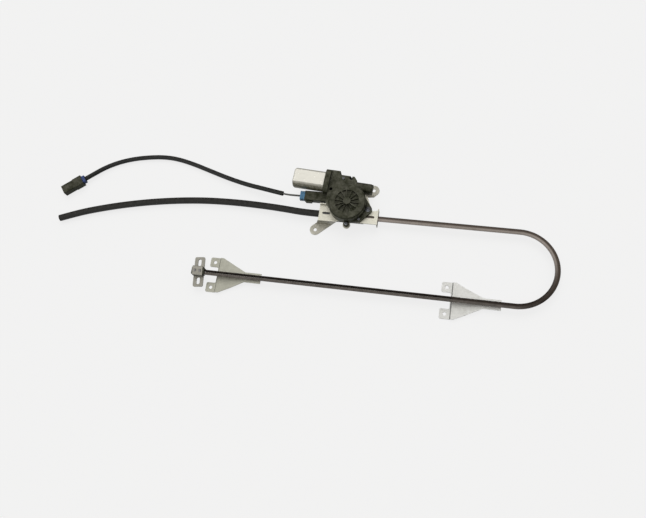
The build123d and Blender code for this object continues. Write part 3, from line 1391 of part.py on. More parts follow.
with BuildPart() as harness_sleeve:
    cord(sleeve_points, 0, SLEEVE_DIA / 2, SLEEVE_DIA / 2 - SLEEVE_WALL)
finish(harness_sleeve, "harness_sleeve")

with BuildPart() as cable_hose:
    cord(hose_points, 0, HOSE_OD / 2, HOSE_ID / 2)
finish(cable_hose, "cable_hose")

for cord_part in (harness_wires, harness_sleeve, cable_hose):
    print(cord_part.part.label, "volume", round(cord_part.part.volume, 1))
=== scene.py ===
import json
import math

import bmesh
import bpy
from bpy.props import FloatProperty, FloatVectorProperty, IntProperty, PointerProperty
from mathutils import Matrix, Vector

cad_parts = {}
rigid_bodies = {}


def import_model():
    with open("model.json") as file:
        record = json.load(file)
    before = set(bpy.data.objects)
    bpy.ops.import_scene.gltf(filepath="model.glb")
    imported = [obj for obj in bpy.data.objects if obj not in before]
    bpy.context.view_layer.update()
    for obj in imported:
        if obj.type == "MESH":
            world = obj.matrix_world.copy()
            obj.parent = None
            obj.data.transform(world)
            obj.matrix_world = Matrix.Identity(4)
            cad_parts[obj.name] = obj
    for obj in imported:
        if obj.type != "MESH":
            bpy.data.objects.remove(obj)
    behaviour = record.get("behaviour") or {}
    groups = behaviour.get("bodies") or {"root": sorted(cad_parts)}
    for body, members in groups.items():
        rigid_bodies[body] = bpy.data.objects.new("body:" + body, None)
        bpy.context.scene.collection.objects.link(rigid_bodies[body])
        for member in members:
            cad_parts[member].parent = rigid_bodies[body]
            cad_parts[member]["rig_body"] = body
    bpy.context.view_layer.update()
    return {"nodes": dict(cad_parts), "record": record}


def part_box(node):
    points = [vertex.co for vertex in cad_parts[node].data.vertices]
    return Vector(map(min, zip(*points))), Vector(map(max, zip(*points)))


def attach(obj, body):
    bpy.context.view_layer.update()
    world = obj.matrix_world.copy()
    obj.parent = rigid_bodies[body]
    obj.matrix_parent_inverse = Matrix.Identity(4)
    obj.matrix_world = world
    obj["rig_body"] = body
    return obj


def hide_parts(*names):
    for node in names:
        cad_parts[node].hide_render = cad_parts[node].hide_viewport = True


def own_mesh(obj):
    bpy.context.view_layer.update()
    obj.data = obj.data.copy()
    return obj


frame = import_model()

bl_info = {
    "name": "Rack-cable window regulator",
    "version": (1, 0, 0),
    "blender": (4, 5, 0),
    "location": "View3D > Sidebar > Regulator",
    "description": "Dresses the packed window regulator with its finishes, cords and fastenings",
    "category": "Object",
}

# Routes of the free cords, in metres, in the order they leave the regulator
HOSE_ROUTE = [
    (0.1915, 0.1400, 0.0145), (0.1600, 0.1400, 0.0145), (0.1240, 0.1442, 0.0120),
    (0.0760, 0.1480, 0.0096), (0.0180, 0.1502, 0.0076), (-0.0430, 0.1490, 0.0068),
    (-0.1040, 0.1432, 0.0067), (-0.1650, 0.1338, 0.0067), (-0.2240, 0.1213, 0.0067),
    (-0.2780, 0.1066, 0.0067), (-0.3130, 0.0950, 0.0067), (-0.3450, 0.0822, 0.0067),
]
LEAD_ROUTE = [
    (0.0980, 0.1766, 0.0162), (0.0740, 0.1816, 0.0138), (0.0360, 0.1886, 0.0112),
    (-0.0040, 0.1994, 0.0084), (-0.0450, 0.2127, 0.0061), (-0.0860, 0.2260, 0.0049),
    (-0.1230, 0.2346, 0.0047), (-0.1550, 0.2362, 0.0047), (-0.1870, 0.2326, 0.0047),
    (-0.2180, 0.2265, 0.0047), (-0.2490, 0.2160, 0.0047), (-0.2760, 0.2010, 0.0056),
    (-0.298654, 0.181897, 0.0077),
]
SLEEVE_ROUTE = [(0.1140, 0.1735, 0.0181), *LEAD_ROUTE, (-0.311331, 0.172134, 0.0077)]
WIRE_ROUTE = [
    (0.1650, 0.1705, 0.0220), (0.1410, 0.1705, 0.0220), (0.1240, 0.17156, 0.0193),
    *LEAD_ROUTE, (-0.316085, 0.168473, 0.0077),
]

# The round that pressing, moulding and tumbling leave on edges, in metres, and where it differs
EDGE_ROUND = 0.0003
EDGE_ROUNDS = {
    "guide_tube": 0.00015, "left_guide_support": 0.00025, "right_guide_support": 0.00025,
    "lift_rivets": 0.0002, "cable_driver": 0.0002, "cover_screws": 0.0002,
    "gearbox_housing": 0.00035, "motor_plug": 0.0004, "end_plug": 0.0004,
}

# Sizes of the screws that are stood one by one, in metres
GUIDE_SCREW = {"head_height": 0.0024, "shank_radius": 0.002, "pitch": 0.0007}
MOUNTING_SCREW = {"head_height": 0.003, "shank_radius": 0.0025, "pitch": 0.0008}
MOUNTING_HEAD_RADIUS = 0.0034
FLANGED_FROM_RADIUS = 0.0045
SCREW_SIDES = 48

# Where the studio's light comes from, and its colours from the dark side to the bright one
SOFT_SIDE = (0.0, 0.35, 0.94)
SOFT_SKY = (
    (0.0, (0.07, 0.06, 0.045, 1)), (0.35, (0.17, 0.15, 0.12, 1)), (0.55, (0.42, 0.39, 0.36, 1)),
    (0.70, (1.02, 1.01, 0.98, 1)), (0.82, (1.20, 1.20, 1.19, 1)),
)
MIRROR_SIDE = (-0.62, -0.66, 0.43)
MIRRORED_SKY = (
    (0.0, (0.26, 0.23, 0.20, 1)), (0.12, (0.34, 0.32, 0.30, 1)), (0.44, (0.42, 0.40, 0.38, 1)),
    (0.62, (0.95, 0.94, 0.92, 1)), (1.0, (1.20, 1.19, 1.17, 1)),
)
BACKDROP = 0.934
KEY_TURN = (-34, -6, 0)
KEY_SPREAD = 40
FLOOR_DROP = 0.0004
FLOOR_SHADE = 0.10
FLOOR_STAIN = 0.097
FLOOR_DIM, FLOOR_BRIGHT = 0.14, 0.75

# The camera, in metres, degrees and millimetres
CAMERA_PLACE = (0.432421, -0.295893, 1.212223)
CAMERA_TURN = (17.2396, 7.9370, 8.5217)
LENS = 37.46
SENSOR_WIDTH = 36.0


# ---- node sums


def feed(tree, value, socket):
    """Links a socket to a socket, or sets a plain value on it."""
    if isinstance(value, bpy.types.NodeSocket):
        tree.links.new(value, socket)
    else:
        socket.default_value = value


def maths(tree, operation, first, second, kind="Math", result=0):
    """One sum on two values, or on two places where the kind is VectorMath."""
    made = tree.nodes.new("ShaderNode" + kind)
    made.operation = operation
    feed(tree, first, made.inputs[0])
    feed(tree, second, made.inputs[1])
    return made.outputs[result]


def times(tree, product, *others):
    """The product of some values."""
    for other in others:
        product = maths(tree, "MULTIPLY", product, other)
    return product


def reach(tree, place, direction):
    """How far a place lies along a direction."""
    return maths(tree, "DOT_PRODUCT", place, direction, "VectorMath", "Value")


def noise(tree, place, size, detail=4.0, rough=0.55):
    """Noise whose blotches are size metres across; size is a socket or a number."""
    made = tree.nodes.new("ShaderNodeTexNoise")
    made.inputs["Detail"].default_value = detail
    made.inputs["Roughness"].default_value = rough
    tree.links.new(place, made.inputs["Vector"])
    tree.links.new(maths(tree, "DIVIDE", 1.0, size), made.inputs["Scale"])
    return made.outputs["Fac"]


def sharpen(tree, value, low, high, new_low=0.0, new_high=1.0):
    """Stretches a value from low..high to new_low..new_high, held at the ends."""
    made = tree.nodes.new("ShaderNodeMapRange")
    for socket, number in zip(made.inputs, (value, low, high, new_low, new_high)):
        feed(tree, number, socket)
    return made.outputs["Result"]


def mix_colour(tree, share, first, second, blend="MIX"):
    """One colour laid over another by a share."""
    made = tree.nodes.new("ShaderNodeMix")
    made.data_type = "RGBA"
    made.blend_type = blend
    feed(tree, share, made.inputs[0])
    feed(tree, first, made.inputs[6])
    feed(tree, second, made.inputs[7])
    return made.outputs[2]


def facing_up(tree):
    """How far the surface faces up, from -1 to 1."""
    parts = tree.nodes.new("ShaderNodeSeparateXYZ")
    shape = tree.nodes.new("ShaderNodeNewGeometry")
    tree.links.new(shape.outputs["Normal"], parts.inputs[0])
    return parts.outputs["Z"]


# ---- surface effects

GREY = (0.5, 0.5, 0.5, 1)
SOCKET_KINDS = {1: "NodeSocketFloat", 3: "NodeSocketVector", 4: "NodeSocketColor"}


def effect_group(name, *gives, **takes):
    """A group fed with a place and the named values: its tree, what it takes, what it gives."""
    tree = bpy.data.node_groups.new(name, "ShaderNodeTree")
    for label, value in {"Place": (0, 0, 0), **takes}.items():
        kind = SOCKET_KINDS[len(value) if isinstance(value, tuple) else 1]
        tree.interface.new_socket(label, in_out="INPUT", socket_type=kind).default_value = value
    for label in gives:
        kind = SOCKET_KINDS[4 if label == "Colour" else 1]
        tree.interface.new_socket(label, in_out="OUTPUT", socket_type=kind)
    start, end = tree.nodes.new("NodeGroupInput"), tree.nodes.new("NodeGroupOutput")
    return tree, start.outputs, end.inputs


def lay_over(tree, take, give, over, *shares):
    """Gives the group's colour with another one over it, by some shares and the Amount."""
    mask = times(tree, *shares, take["Amount"])
    tree.links.new(mix_colour(tree, mask, take["Colour"], take[over]), give["Colour"])


def clouded():
    """Soft stains and a finer mottle over a colour."""
    tree, take, give = effect_group(
        "Clouded surface", "Colour", Colour=GREY, Stain=GREY, Size=0.02, Amount=0.4)
    broad = noise(tree, take["Place"], take["Size"], 5.0, 0.6)
    fine = noise(tree, take["Place"], times(tree, take["Size"], 0.13), 3.0)
    both = maths(tree, "ADD", times(tree, broad, 0.7), times(tree, fine, 0.3))
    lay_over(tree, take, give, "Stain", sharpen(tree, both, 0.38, 0.64))
    return tree


def grain():
    """Fine even grain, for roughness and relief."""
    tree, take, give = effect_group(
        "Fine grain", "Roughness", "Height", Size=0.0008, Roughness=0.5, Spread=0.15)
    fine = noise(tree, take["Place"], take["Size"], 2.0)
    broad = noise(tree, take["Place"], times(tree, take["Size"], 22.0), 3.0)
    swing = times(tree, maths(tree, "SUBTRACT", broad, 0.5), take["Spread"])
    tree.links.new(maths(tree, "ADD", take["Roughness"], swing), give["Roughness"])
    tree.links.new(fine, give["Height"])
    return tree


def drawn():
    """Die lines and rolling marks, stretched along one direction."""
    tree, take, give = effect_group(
        "Drawn lines", "Lines", "Height", Stretch=(20, 1, 1), Size=0.001)
    squeezed = maths(tree, "DIVIDE", take["Place"], take["Stretch"], "VectorMath")
    lines = noise(tree, squeezed, take["Size"], 3.0)
    tree.links.new(sharpen(tree, lines, 0.3, 0.7), give["Lines"])
    tree.links.new(lines, give["Height"])
    return tree


def rubbed():
    """Edges and proud places rubbed to another colour."""
    tree, take, give = effect_group(
        "Rubbed edges", "Colour", Colour=GREY, Rubbed=GREY, Amount=0.5)
    shape = tree.nodes.new("ShaderNodeNewGeometry")
    proud = sharpen(tree, shape.outputs["Pointiness"], 0.51, 0.60)
    patchy = sharpen(tree, noise(tree, take["Place"], 0.004), 0.35, 0.65, 0.2, 1.0)
    lay_over(tree, take, give, "Rubbed", proud, patchy)
    return tree


def crystals():
    """The faint crystals of a zinc coat."""
    tree, take, give = effect_group(
        "Zinc crystals", "Colour", Colour=GREY, Size=0.004, Contrast=0.2)
    cells = tree.nodes.new("ShaderNodeTexVoronoi")
    tree.links.new(take["Place"], cells.inputs["Vector"])
    tree.links.new(maths(tree, "DIVIDE", 1.0, take["Size"]), cells.inputs["Scale"])
    parts = tree.nodes.new("ShaderNodeSeparateColor")
    tree.links.new(cells.outputs["Color"], parts.inputs[0])
    dark = mix_colour(tree, 1.0, take["Colour"], (0.62, 0.62, 0.62, 1), "MULTIPLY")
    share = times(tree, parts.outputs[0], take["Contrast"])
    tree.links.new(mix_colour(tree, share, take["Colour"], dark), give["Colour"])
    return tree


def dust():
    """Pale dust settled on what faces up."""
    tree, take, give = effect_group(
        "Settled dust", "Colour", Colour=GREY, Dust=(0.4, 0.38, 0.34, 1), Amount=0.1)
    facing = sharpen(tree, facing_up(tree), 0.3, 1.0)
    patchy = sharpen(tree, noise(tree, take["Place"], 0.009, 6.0, 0.65), 0.35, 0.7)
    lay_over(tree, take, give, "Dust", facing, patchy)
    return tree


def painted_shade_on_steep_faces():
    """Painted shade on steep faces: folds, walls and cut edges darker than the faces that lie
    flat.
    """
    tree, take, give = effect_group("Dull folds", "Colour", Colour=GREY, Dull=GREY, Amount=0.8)
    steep = sharpen(tree, maths(tree, "ABSOLUTE", facing_up(tree), 0.0), 0.93, 0.55)
    patchy = sharpen(tree, noise(tree, take["Place"], 0.006), 0.3, 0.7, 0.75, 1.0)
    lay_over(tree, take, give, "Dull", steep, patchy)
    return tree


def darker_past_level():
    """What lies short of a level along one direction, painted darker than the rest."""
    tree, take, give = effect_group(
        "Dull past a level", "Colour", Colour=GREY, Dull=GREY, Upwards=(0, 0, 1), Level=0.0,
        Depth=0.008, Amount=0.8)
    rise = reach(tree, take["Place"], take["Upwards"])
    below = sharpen(tree, maths(tree, "SUBTRACT", take["Level"], rise), 0.0, take["Depth"])
    patchy = sharpen(tree, noise(tree, take["Place"], 0.010), 0.3, 0.7, 0.7, 1.0)
    lay_over(tree, take, give, "Dull", below, patchy)
    return tree


built_groups = {}


# ---- finishes


class Finish:
    """A material in the making: its shader stands here, the shared effects feed it."""

    def __init__(self, name, colour, metallic=0.0, ior=1.5, coat=0.0, place="Object"):
        self.material = bpy.data.materials.new(name)
        self.material.use_nodes = True
        self.tree = self.material.node_tree
        self.shader = self.tree.nodes["Principled BSDF"]
        for label, value in (("Metallic", metallic), ("IOR", ior), ("Coat Weight", coat),
                             ("Coat Roughness", 0.15)):
            self.shader.inputs[label].default_value = value
        self.place = self.tree.nodes.new("ShaderNodeTexCoord").outputs[place]
        self.colour = colour
        self.normal = None

    def effect(self, build, **settings):
        """Places one of the shared effects, with this finish's own values."""
        if build not in built_groups:
            built_groups[build] = build()
        made = self.tree.nodes.new("ShaderNodeGroup")
        made.node_tree = built_groups[build]
        self.tree.links.new(self.place, made.inputs["Place"])
        for label, value in settings.items():
            feed(self.tree, value, made.inputs[label])
        return made.outputs

    def lay(self, build, **settings):
        """Lays one of the shared effects over the colour."""
        self.colour = self.effect(build, Colour=self.colour, **settings)["Colour"]

    def relief(self, height, depth):
        """A bump of a given depth in metres, over the one before it."""
        bump = self.tree.nodes.new("ShaderNodeBump")
        bump.inputs["Distance"].default_value = depth
        self.tree.links.new(height, bump.inputs["Height"])
        if self.normal is not None:
            self.tree.links.new(self.normal, bump.inputs["Normal"])
        self.normal = bump.outputs["Normal"]

    def grained(self, size, roughness, spread, depth=0.0):
        """Grain in the roughness, and in the relief where it has a depth."""
        made = self.effect(grain, Size=size, Roughness=roughness, Spread=spread)
        self.tree.links.new(made["Roughness"], self.shader.inputs["Roughness"])
        if depth:
            self.relief(made["Height"], depth)

    def finished(self):
        """The material, with its colour and relief fed to the shader."""
        self.tree.links.new(self.colour, self.shader.inputs["Base Color"])
        self.tree.links.new(self.normal, self.shader.inputs["Normal"])
        return self.material


def shade(colour, factor):
    """A colour made lighter or darker."""
    return (*[min(channel * factor, 1.0) for channel in colour[:3]], 1.0)


def stain_of(colour, stain):
    """A stain's own colour, or the finish's colour made darker by a factor."""
    return (*stain, 1.0) if isinstance(stain, tuple) else shade(colour, stain)


def plated_sheet(name, colour, roughness, stain, stretch=(6, 1, 1), contrast=0.25,
                 metallic=0.45, low=None):
    """Zinc-plated pressed sheet: crystals, faint rolling lines, stains, rubbed edges, and painted
    shade on steep faces and, where a level is given, below it.
    """
    made = Finish(name, colour, metallic)
    stain = stain_of(colour, stain)
    made.lay(clouded, Stain=stain, Size=0.022, Amount=0.5)
    made.lay(crystals, Size=0.0028, Contrast=contrast)
    made.lay(rubbed, Rubbed=shade(colour, 1.25), Amount=0.25)
    # Painted shade on steep faces, in a dark form of the stain's colour.
    made.lay(painted_shade_on_steep_faces, Dull=shade(stain, 0.18), Amount=0.9)
    # Painted shade on what lies below the level, such as the motor plate's legs and ears under
    # its deck.
    if low:
        made.lay(darker_past_level, Dull=shade(stain, 0.52), Level=low, Amount=0.9)
    made.relief(made.effect(drawn, Stretch=stretch, Size=0.0009)["Height"], 0.00003)
    made.grained(0.0007, roughness, 0.22, 0.00002)
    return made.finished()


def drawn_metal(name, colour, roughness, stain, stretch=(18, 1, 1), size=0.0008, stained=0.35,
                coat=0.0, depth=0.00002, metallic=1.0, dull=None, greased=None, edges=0.3):
    """Bright drawn, ground or turned metal with its fine lines."""
    made = Finish(name, colour, metallic, coat=coat)
    made.lay(clouded, Stain=stain_of(colour, stain), Size=0.016, Amount=stained)
    lines = made.effect(drawn, Stretch=stretch, Size=size)
    share = times(made.tree, lines["Lines"], 0.18)
    made.colour = mix_colour(made.tree, share, made.colour, shade(colour, 0.6))
    made.lay(rubbed, Rubbed=shade(colour, 1.4), Amount=edges)
    # Painted shade on steep faces, such as the can's rounded sides.
    if dull:
        made.lay(painted_shade_on_steep_faces, Dull=dull, Amount=1.0)
    # The tube is painted darker towards -Y, over the lift run and the lower part of its bend.
    if greased:
        made.lay(darker_past_level, Dull=shade(colour, 0.20), Upwards=(0, 1, 0), Level=greased,
                 Depth=0.07, Amount=0.95)
    made.relief(lines["Height"], depth)
    made.grained(0.0005, roughness, 0.2)
    return made.finished()


def moulded(name, colour, roughness, dusty=0.12, size=0.0006, sheen=None, tint=(1, 1, 1, 1),
            mottle=0.7):
    """Moulded plastic or rubber: fine grain, slight flow clouds, scuffed edges and some dust."""
    made = Finish(name, colour, ior=1.38)
    made.shader.inputs["Specular Tint"].default_value = tint
    made.lay(clouded, Stain=shade(colour, mottle), Size=0.012, Amount=0.8)
    made.lay(rubbed, Rubbed=sheen or shade(colour, 1.9), Amount=0.5)
    made.lay(dust, Amount=dusty)
    made.grained(size, roughness, 0.25, 0.00005)
    return made.finished()


def extruded(name, colour, roughness):
    """Extruded rubber or vinyl: die lines run along the cord, on its map of girth and length."""
    made = Finish(name, colour, ior=1.33, place="UV")
    made.lay(clouded, Stain=shade(colour, 1.7), Size=0.012, Amount=0.35)
    made.lay(dust, Amount=0.05)
    made.relief(made.effect(drawn, Stretch=(1, 60, 1), Size=0.0012)["Height"], 0.00006)
    made.grained(0.0009, roughness, 0.2, 0.00004)
    return made.finished()


# For each slot its maker, name, colour or the panel's, roughness, and the maker's other values
FINISHES = {
    # The tube is painted darker towards -Y, over the lift run and the lower part of its bend.
    "guide_tube": (drawn_metal, "Bronze-brown drawn tube", "tube", 0.24, dict(
        stain=0.45, stretch=(40, 1, 1), size=0.0009, stained=0.45, coat=0.15, greased=0.08)),
    "support_steel": (plated_sheet, "Grey zinc on pressed steel", "support", 0.46, dict(
        stain=0.75)),
    "bright_zinc": (plated_sheet, "Bright zinc on pressed steel", (0.93, 0.94, 0.92), 0.38, dict(
        stain=(0.70, 0.71, 0.68))),
    # The motor plate gets a painted shade below its deck level.
    "plate_zinc": (plated_sheet, "Pale yellow zinc plate", "plate", 0.36, dict(
        stain=0.82, stretch=(5, 1, 1), contrast=0.18, metallic=0.4, low=0.0185)),
    "lift_steel": (plated_sheet, "Dull zinc on lift bracket", (0.42, 0.41, 0.36), 0.48, dict(
        stain=(0.28, 0.27, 0.24))),
    # The can's rounded sides get a painted shade in a dark olive.
    "can_steel": (drawn_metal, "Nickel-bright drawn can", "can", 0.24, dict(
        stain=0.95, stretch=(16, 1, 1), size=0.0012, stained=0.5, depth=0.00001, metallic=0.2,
        dull=(0.085, 0.078, 0.036, 1), edges=0.0)),
    "cable_steel": (drawn_metal, "Oiled rack-cable wire", (0.34, 0.33, 0.31), 0.28, dict(
        stain=(0.12, 0.10, 0.08), stretch=(1, 8, 8), size=0.0006, stained=0.6, coat=0.3)),
    "hard_steel": (drawn_metal, "Turned hard steel", (0.42, 0.42, 0.43), 0.32, dict(
        stain=(0.24, 0.23, 0.22), stretch=(1, 6, 6), size=0.0007)),
    "screw_steel": (drawn_metal, "Clear zinc on screws", (0.30, 0.32, 0.35), 0.42, dict(
        stain=(0.16, 0.165, 0.175), stretch=(1, 1, 5), size=0.0006)),
    "copper": (drawn_metal, "Enamelled copper", (0.62, 0.25, 0.10), 0.30, dict(
        stain=(0.36, 0.13, 0.05), stretch=(1, 9, 9), size=0.0006, stained=0.4, coat=0.4)),
    "lamination": (drawn_metal, "Stacked iron laminations", (0.30, 0.31, 0.33), 0.42, dict(
        stain=(0.13, 0.12, 0.12), stretch=(1, 30, 30), size=0.0005, stained=0.4, depth=0.00008)),
    "bronze": (drawn_metal, "Sintered bronze", (0.52, 0.33, 0.15), 0.46, dict(
        stain=(0.28, 0.17, 0.08), stretch=(1, 2, 2), size=0.0005)),
    "terminal_tin": (drawn_metal, "Tinned terminal", (0.70, 0.69, 0.66), 0.30, dict(
        stain=(0.48, 0.46, 0.42), stretch=(8, 1, 1), size=0.0005)),
    "black_plastic": (moulded, "Glass-filled black moulding", "moulding", 0.44, dict(
        dusty=0.16, sheen=(0.10, 0.105, 0.075, 1), tint=(0.82, 0.86, 0.62, 1), mottle=2.2)),
    "guide_plastic": (moulded, "Dark grey guide moulding", (0.055, 0.056, 0.06), 0.5, {}),
    "natural_plastic": (moulded, "Natural white gear plastic", (0.78, 0.75, 0.66), 0.42, dict(
        dusty=0.0, sheen=(0.86, 0.84, 0.78, 1))),
    "ferrite": (moulded, "Sintered ferrite", (0.045, 0.045, 0.050), 0.62, dict(
        dusty=0.0, size=0.0005)),
    "carbon": (moulded, "Carbon brush", (0.035, 0.034, 0.036), 0.55, dict(
        dusty=0.0, size=0.0003)),
    "blue_rubber": (moulded, "Blue seal rubber", "seal", 0.42, dict(dusty=0.05, size=0.001)),
    "navy_rubber": (moulded, "Navy seal rubber", (0.030, 0.055, 0.17), 0.40, dict(
        dusty=0.05, size=0.001)),
    "damper_rubber": (moulded, "Black damper rubber", (0.022, 0.022, 0.023), 0.62, dict(
        dusty=0.04, size=0.0012)),
    "hose_black": (extruded, "Black rubber hose", "hose", 0.40, {}),
    "sleeve_black": (extruded, "Black vinyl sleeve", (0.010, 0.011, 0.011), 0.34, {}),
    "wire_black": (extruded, "Lead insulation", (0.11, 0.11, 0.105), 0.38, {}),
}
built_finishes = {}


def finish_for(node):
    """The finish of a CAD node's slot, built the first time it is asked for."""
    slot = slot_of(node)
    if slot not in built_finishes:
        maker, name, colour, roughness, settings = FINISHES[slot]
        if isinstance(colour, str):
            colour = getattr(bpy.context.scene.regulator_colours, colour)
        built_finishes[slot] = maker(name, (*colour, 1.0), roughness, **settings)
    return built_finishes[slot]


def slot_of(node):
    """The record's material slot of a CAD node."""
    parts = frame["record"]["subparts"]
    return next(part["material_slot"] for part in parts if part["node"] == node)


# ---- pieces


def placed(name, data):
    """An object at the origin that holds a mesh or curve, in the scene."""
    made = bpy.data.objects.new(name, data)
    bpy.context.scene.collection.objects.link(made)
    return made


def mesh_from(work, name, sharp=None):
    """A mesh from the shape in the making, shaded smooth up to an angle where one is given."""
    mesh = bpy.data.meshes.new(name)
    work.to_mesh(mesh)
    work.free()
    if sharp:
        mesh.shade_smooth()
        mesh.set_sharp_from_angle(angle=math.radians(sharp))
    return mesh


def set_piece(name, mesh, node):
    """Puts a finished mesh in place of a CAD node, on its body and with its finish."""
    mesh.materials.clear()
    mesh.materials.append(finish_for(node))
    piece = placed(name, mesh)
    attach(piece, frame["nodes"][node]["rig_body"])
    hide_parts(node)
    return piece


def plain_mesh(holder, name):
    """The evaluated object as a plain mesh; the holder is removed."""
    bpy.context.view_layer.update()
    depsgraph = bpy.context.evaluated_depsgraph_get()
    mesh = bpy.data.meshes.new_from_object(
        holder.evaluated_get(depsgraph), preserve_all_data_layers=True, depsgraph=depsgraph)
    mesh.name = name
    bpy.data.objects.remove(holder)
    return mesh


def joined_copy(node):
    """A CAD node's mesh with its loose triangles joined and its flat faces made whole."""
    work = bmesh.new()
    work.from_mesh(frame["nodes"][node].data)
    bmesh.ops.remove_doubles(work, verts=work.verts, dist=2e-6)
    bmesh.ops.dissolve_limit(work, angle_limit=math.radians(0.5), verts=work.verts,
                             edges=work.edges)
    mesh = mesh_from(work, node)
    for stale in ("custom_normal", "sharp_edge", "sharp_face"):
        if stale in mesh.attributes:
            mesh.attributes.remove(mesh.attributes[stale])
    return mesh


def dressed(node):
    """A CAD node with its edges broken to a small round."""
    mesh = joined_copy(node)
    mesh.shade_smooth()
    holder = placed("holder", mesh)
    round_edges = holder.modifiers.new("Broken edges", "BEVEL")
    round_edges.width = EDGE_ROUNDS.get(node, EDGE_ROUND)
    round_edges.segments = 2
    round_edges.limit_method = "ANGLE"
    round_edges.angle_limit = math.radians(38)
    round_edges.miter_outer = "MITER_ARC"
    level = holder.modifiers.new("Even shading", "WEIGHTED_NORMAL")
    level.keep_sharp = True
    level.weight = 60
    name = node + "_dressed"
    return set_piece(name, plain_mesh(holder, name), node)


def carried(*nodes):
    """CAD nodes whose shape is right get their finish."""
    for node in nodes:
        mesh = frame["nodes"][node].data
        mesh.materials.clear()
        mesh.materials.append(finish_for(node))


def run_line(points, name):
    """A cord's smooth line, read from its NURBS spline."""
    curve = bpy.data.curves.new(name, "CURVE")
    curve.dimensions = "3D"
    spline = curve.splines.new("NURBS")
    spline.points.add(len(points) - 1)
    for control, place in zip(spline.points, points):
        control.co = (*place, 1.0)
    spline.order_u = 3
    spline.use_endpoint_u = True
    curve.resolution_u = 14
    line = plain_mesh(placed(name, curve), name)
    kept = [line.vertices[0].co.copy()]
    for vertex in line.vertices:
        if (vertex.co - kept[-1]).length > 1e-5:
            kept.append(vertex.co.copy())
    return kept


def band(work, near, far):
    """The faces between two closed rings of points."""
    corners = zip(near, near[1:] + near[:1], far[1:] + far[:1], far)
    return [work.faces.new(around) for around in corners]


def stations(line):
    """Each point of a line, with the directions across its run and up from it."""
    across = Vector((0, 0, 1)).cross(line[1] - line[0]).normalized()
    for i, place in enumerate(line):
        along = (line[min(i + 1, len(line) - 1)] - line[max(i - 1, 0)]).normalized()
        across = (across - along * across.dot(along)).normalized()
        yield place, across, along.cross(across)


def raised(line, rise):
    """The line that lies above or below another, square to its run."""
    return [place + up * rise for place, across, up in stations(line)]


def hollow_run(name, line, outer, bore, sides, rise=0.0):
    """A tube along a line, mapped by girth and length; a bore of nought makes it solid."""
    work = bmesh.new()
    run_map = work.loops.layers.uv.new("Run")
    turns = [2 * math.pi * step / sides for step in range(sides)]
    girth = math.pi * outer
    reached = 0.0
    rings = []
    for before, (place, across, up) in zip([line[0], *line], stations(line)):
        reached += (place - before).length
        walls = [
            [work.verts.new(place + up * rise
                            + (across * math.cos(turn) + up * math.sin(turn)) * width / 2)
             for turn in turns]
            for width in (outer, bore) if width
        ]
        rings.append((walls, reached))
    for (near_walls, start), (far_walls, end) in zip(rings, rings[1:]):
        for near, far in zip(near_walls, far_walls):
            for step, face in enumerate(band(work, near, far)):
                marks = ((step, start), (step + 1, start), (step + 1, end), (step, end))
                for loop, (turned, run) in zip(face.loops, marks):
                    loop[run_map].uv = (girth * turned / sides, run)
    for walls, _ in (rings[0], rings[-1]):
        if bore:
            band(work, *walls)
        else:
            work.faces.new(walls[0])
    bmesh.ops.recalc_face_normals(work, faces=work.faces)
    return mesh_from(work, name, 50)


# ---- geometry nodes


def geometry_tree(name, **inputs):
    """A geometry tree: what it takes, its end node, and its sockets' identifiers."""
    tree = bpy.data.node_groups.new(name, "GeometryNodeTree")
    known = {}
    tree.interface.new_socket("Geometry", in_out="INPUT", socket_type="NodeSocketGeometry")
    for label, kind in inputs.items():
        label = label.replace("_", " ")
        socket = tree.interface.new_socket(label, in_out="INPUT", socket_type="NodeSocket" + kind)
        known[label] = socket.identifier
    tree.interface.new_socket("Geometry", in_out="OUTPUT", socket_type="NodeSocketGeometry")
    start, end = tree.nodes.new("NodeGroupInput"), tree.nodes.new("NodeGroupOutput")
    return tree, start.outputs, end, known


def close_tree(tree, shape, finish, end):
    """Ends a geometry tree: instances made real, then the finish."""
    link = tree.links.new
    real = tree.nodes.new("GeometryNodeRealizeInstances")
    paint = tree.nodes.new("GeometryNodeSetMaterial")
    link(shape, real.inputs[0])
    link(real.outputs[0], paint.inputs["Geometry"])
    link(finish, paint.inputs["Material"])
    link(paint.outputs[0], end.inputs[0])


def grown(name, mesh, tree, known, **values):
    """The plain mesh that a geometry tree makes from a mesh and its inputs."""
    holder = placed(name, mesh)
    growth = holder.modifiers.new(name, "NODES")
    growth.node_group = tree
    for label, value in values.items():
        growth[known[label.replace("_", " ")]] = value
    return plain_mesh(holder, name)


def set_out_tree():
    """Stands one fastening on every point of a mesh."""
    tree, take, end, known = geometry_tree(
        "Set out fastenings", Fastening="Object", Turn_step="Float", Finish="Material")
    link = tree.links.new
    source = tree.nodes.new("GeometryNodeObjectInfo")
    link(take["Fastening"], source.inputs["Object"])
    stand = tree.nodes.new("GeometryNodeInstanceOnPoints")
    order = tree.nodes.new("GeometryNodeInputIndex")
    facing = tree.nodes.new("ShaderNodeCombineXYZ")
    link(times(tree, order.outputs[0], take["Turn step"]), facing.inputs["Z"])
    link(take["Geometry"], stand.inputs["Points"])
    link(source.outputs["Geometry"], stand.inputs["Instance"])
    link(facing.outputs[0], stand.inputs["Rotation"])
    close_tree(tree, stand.outputs[0], take["Finish"], end)
    return tree, known


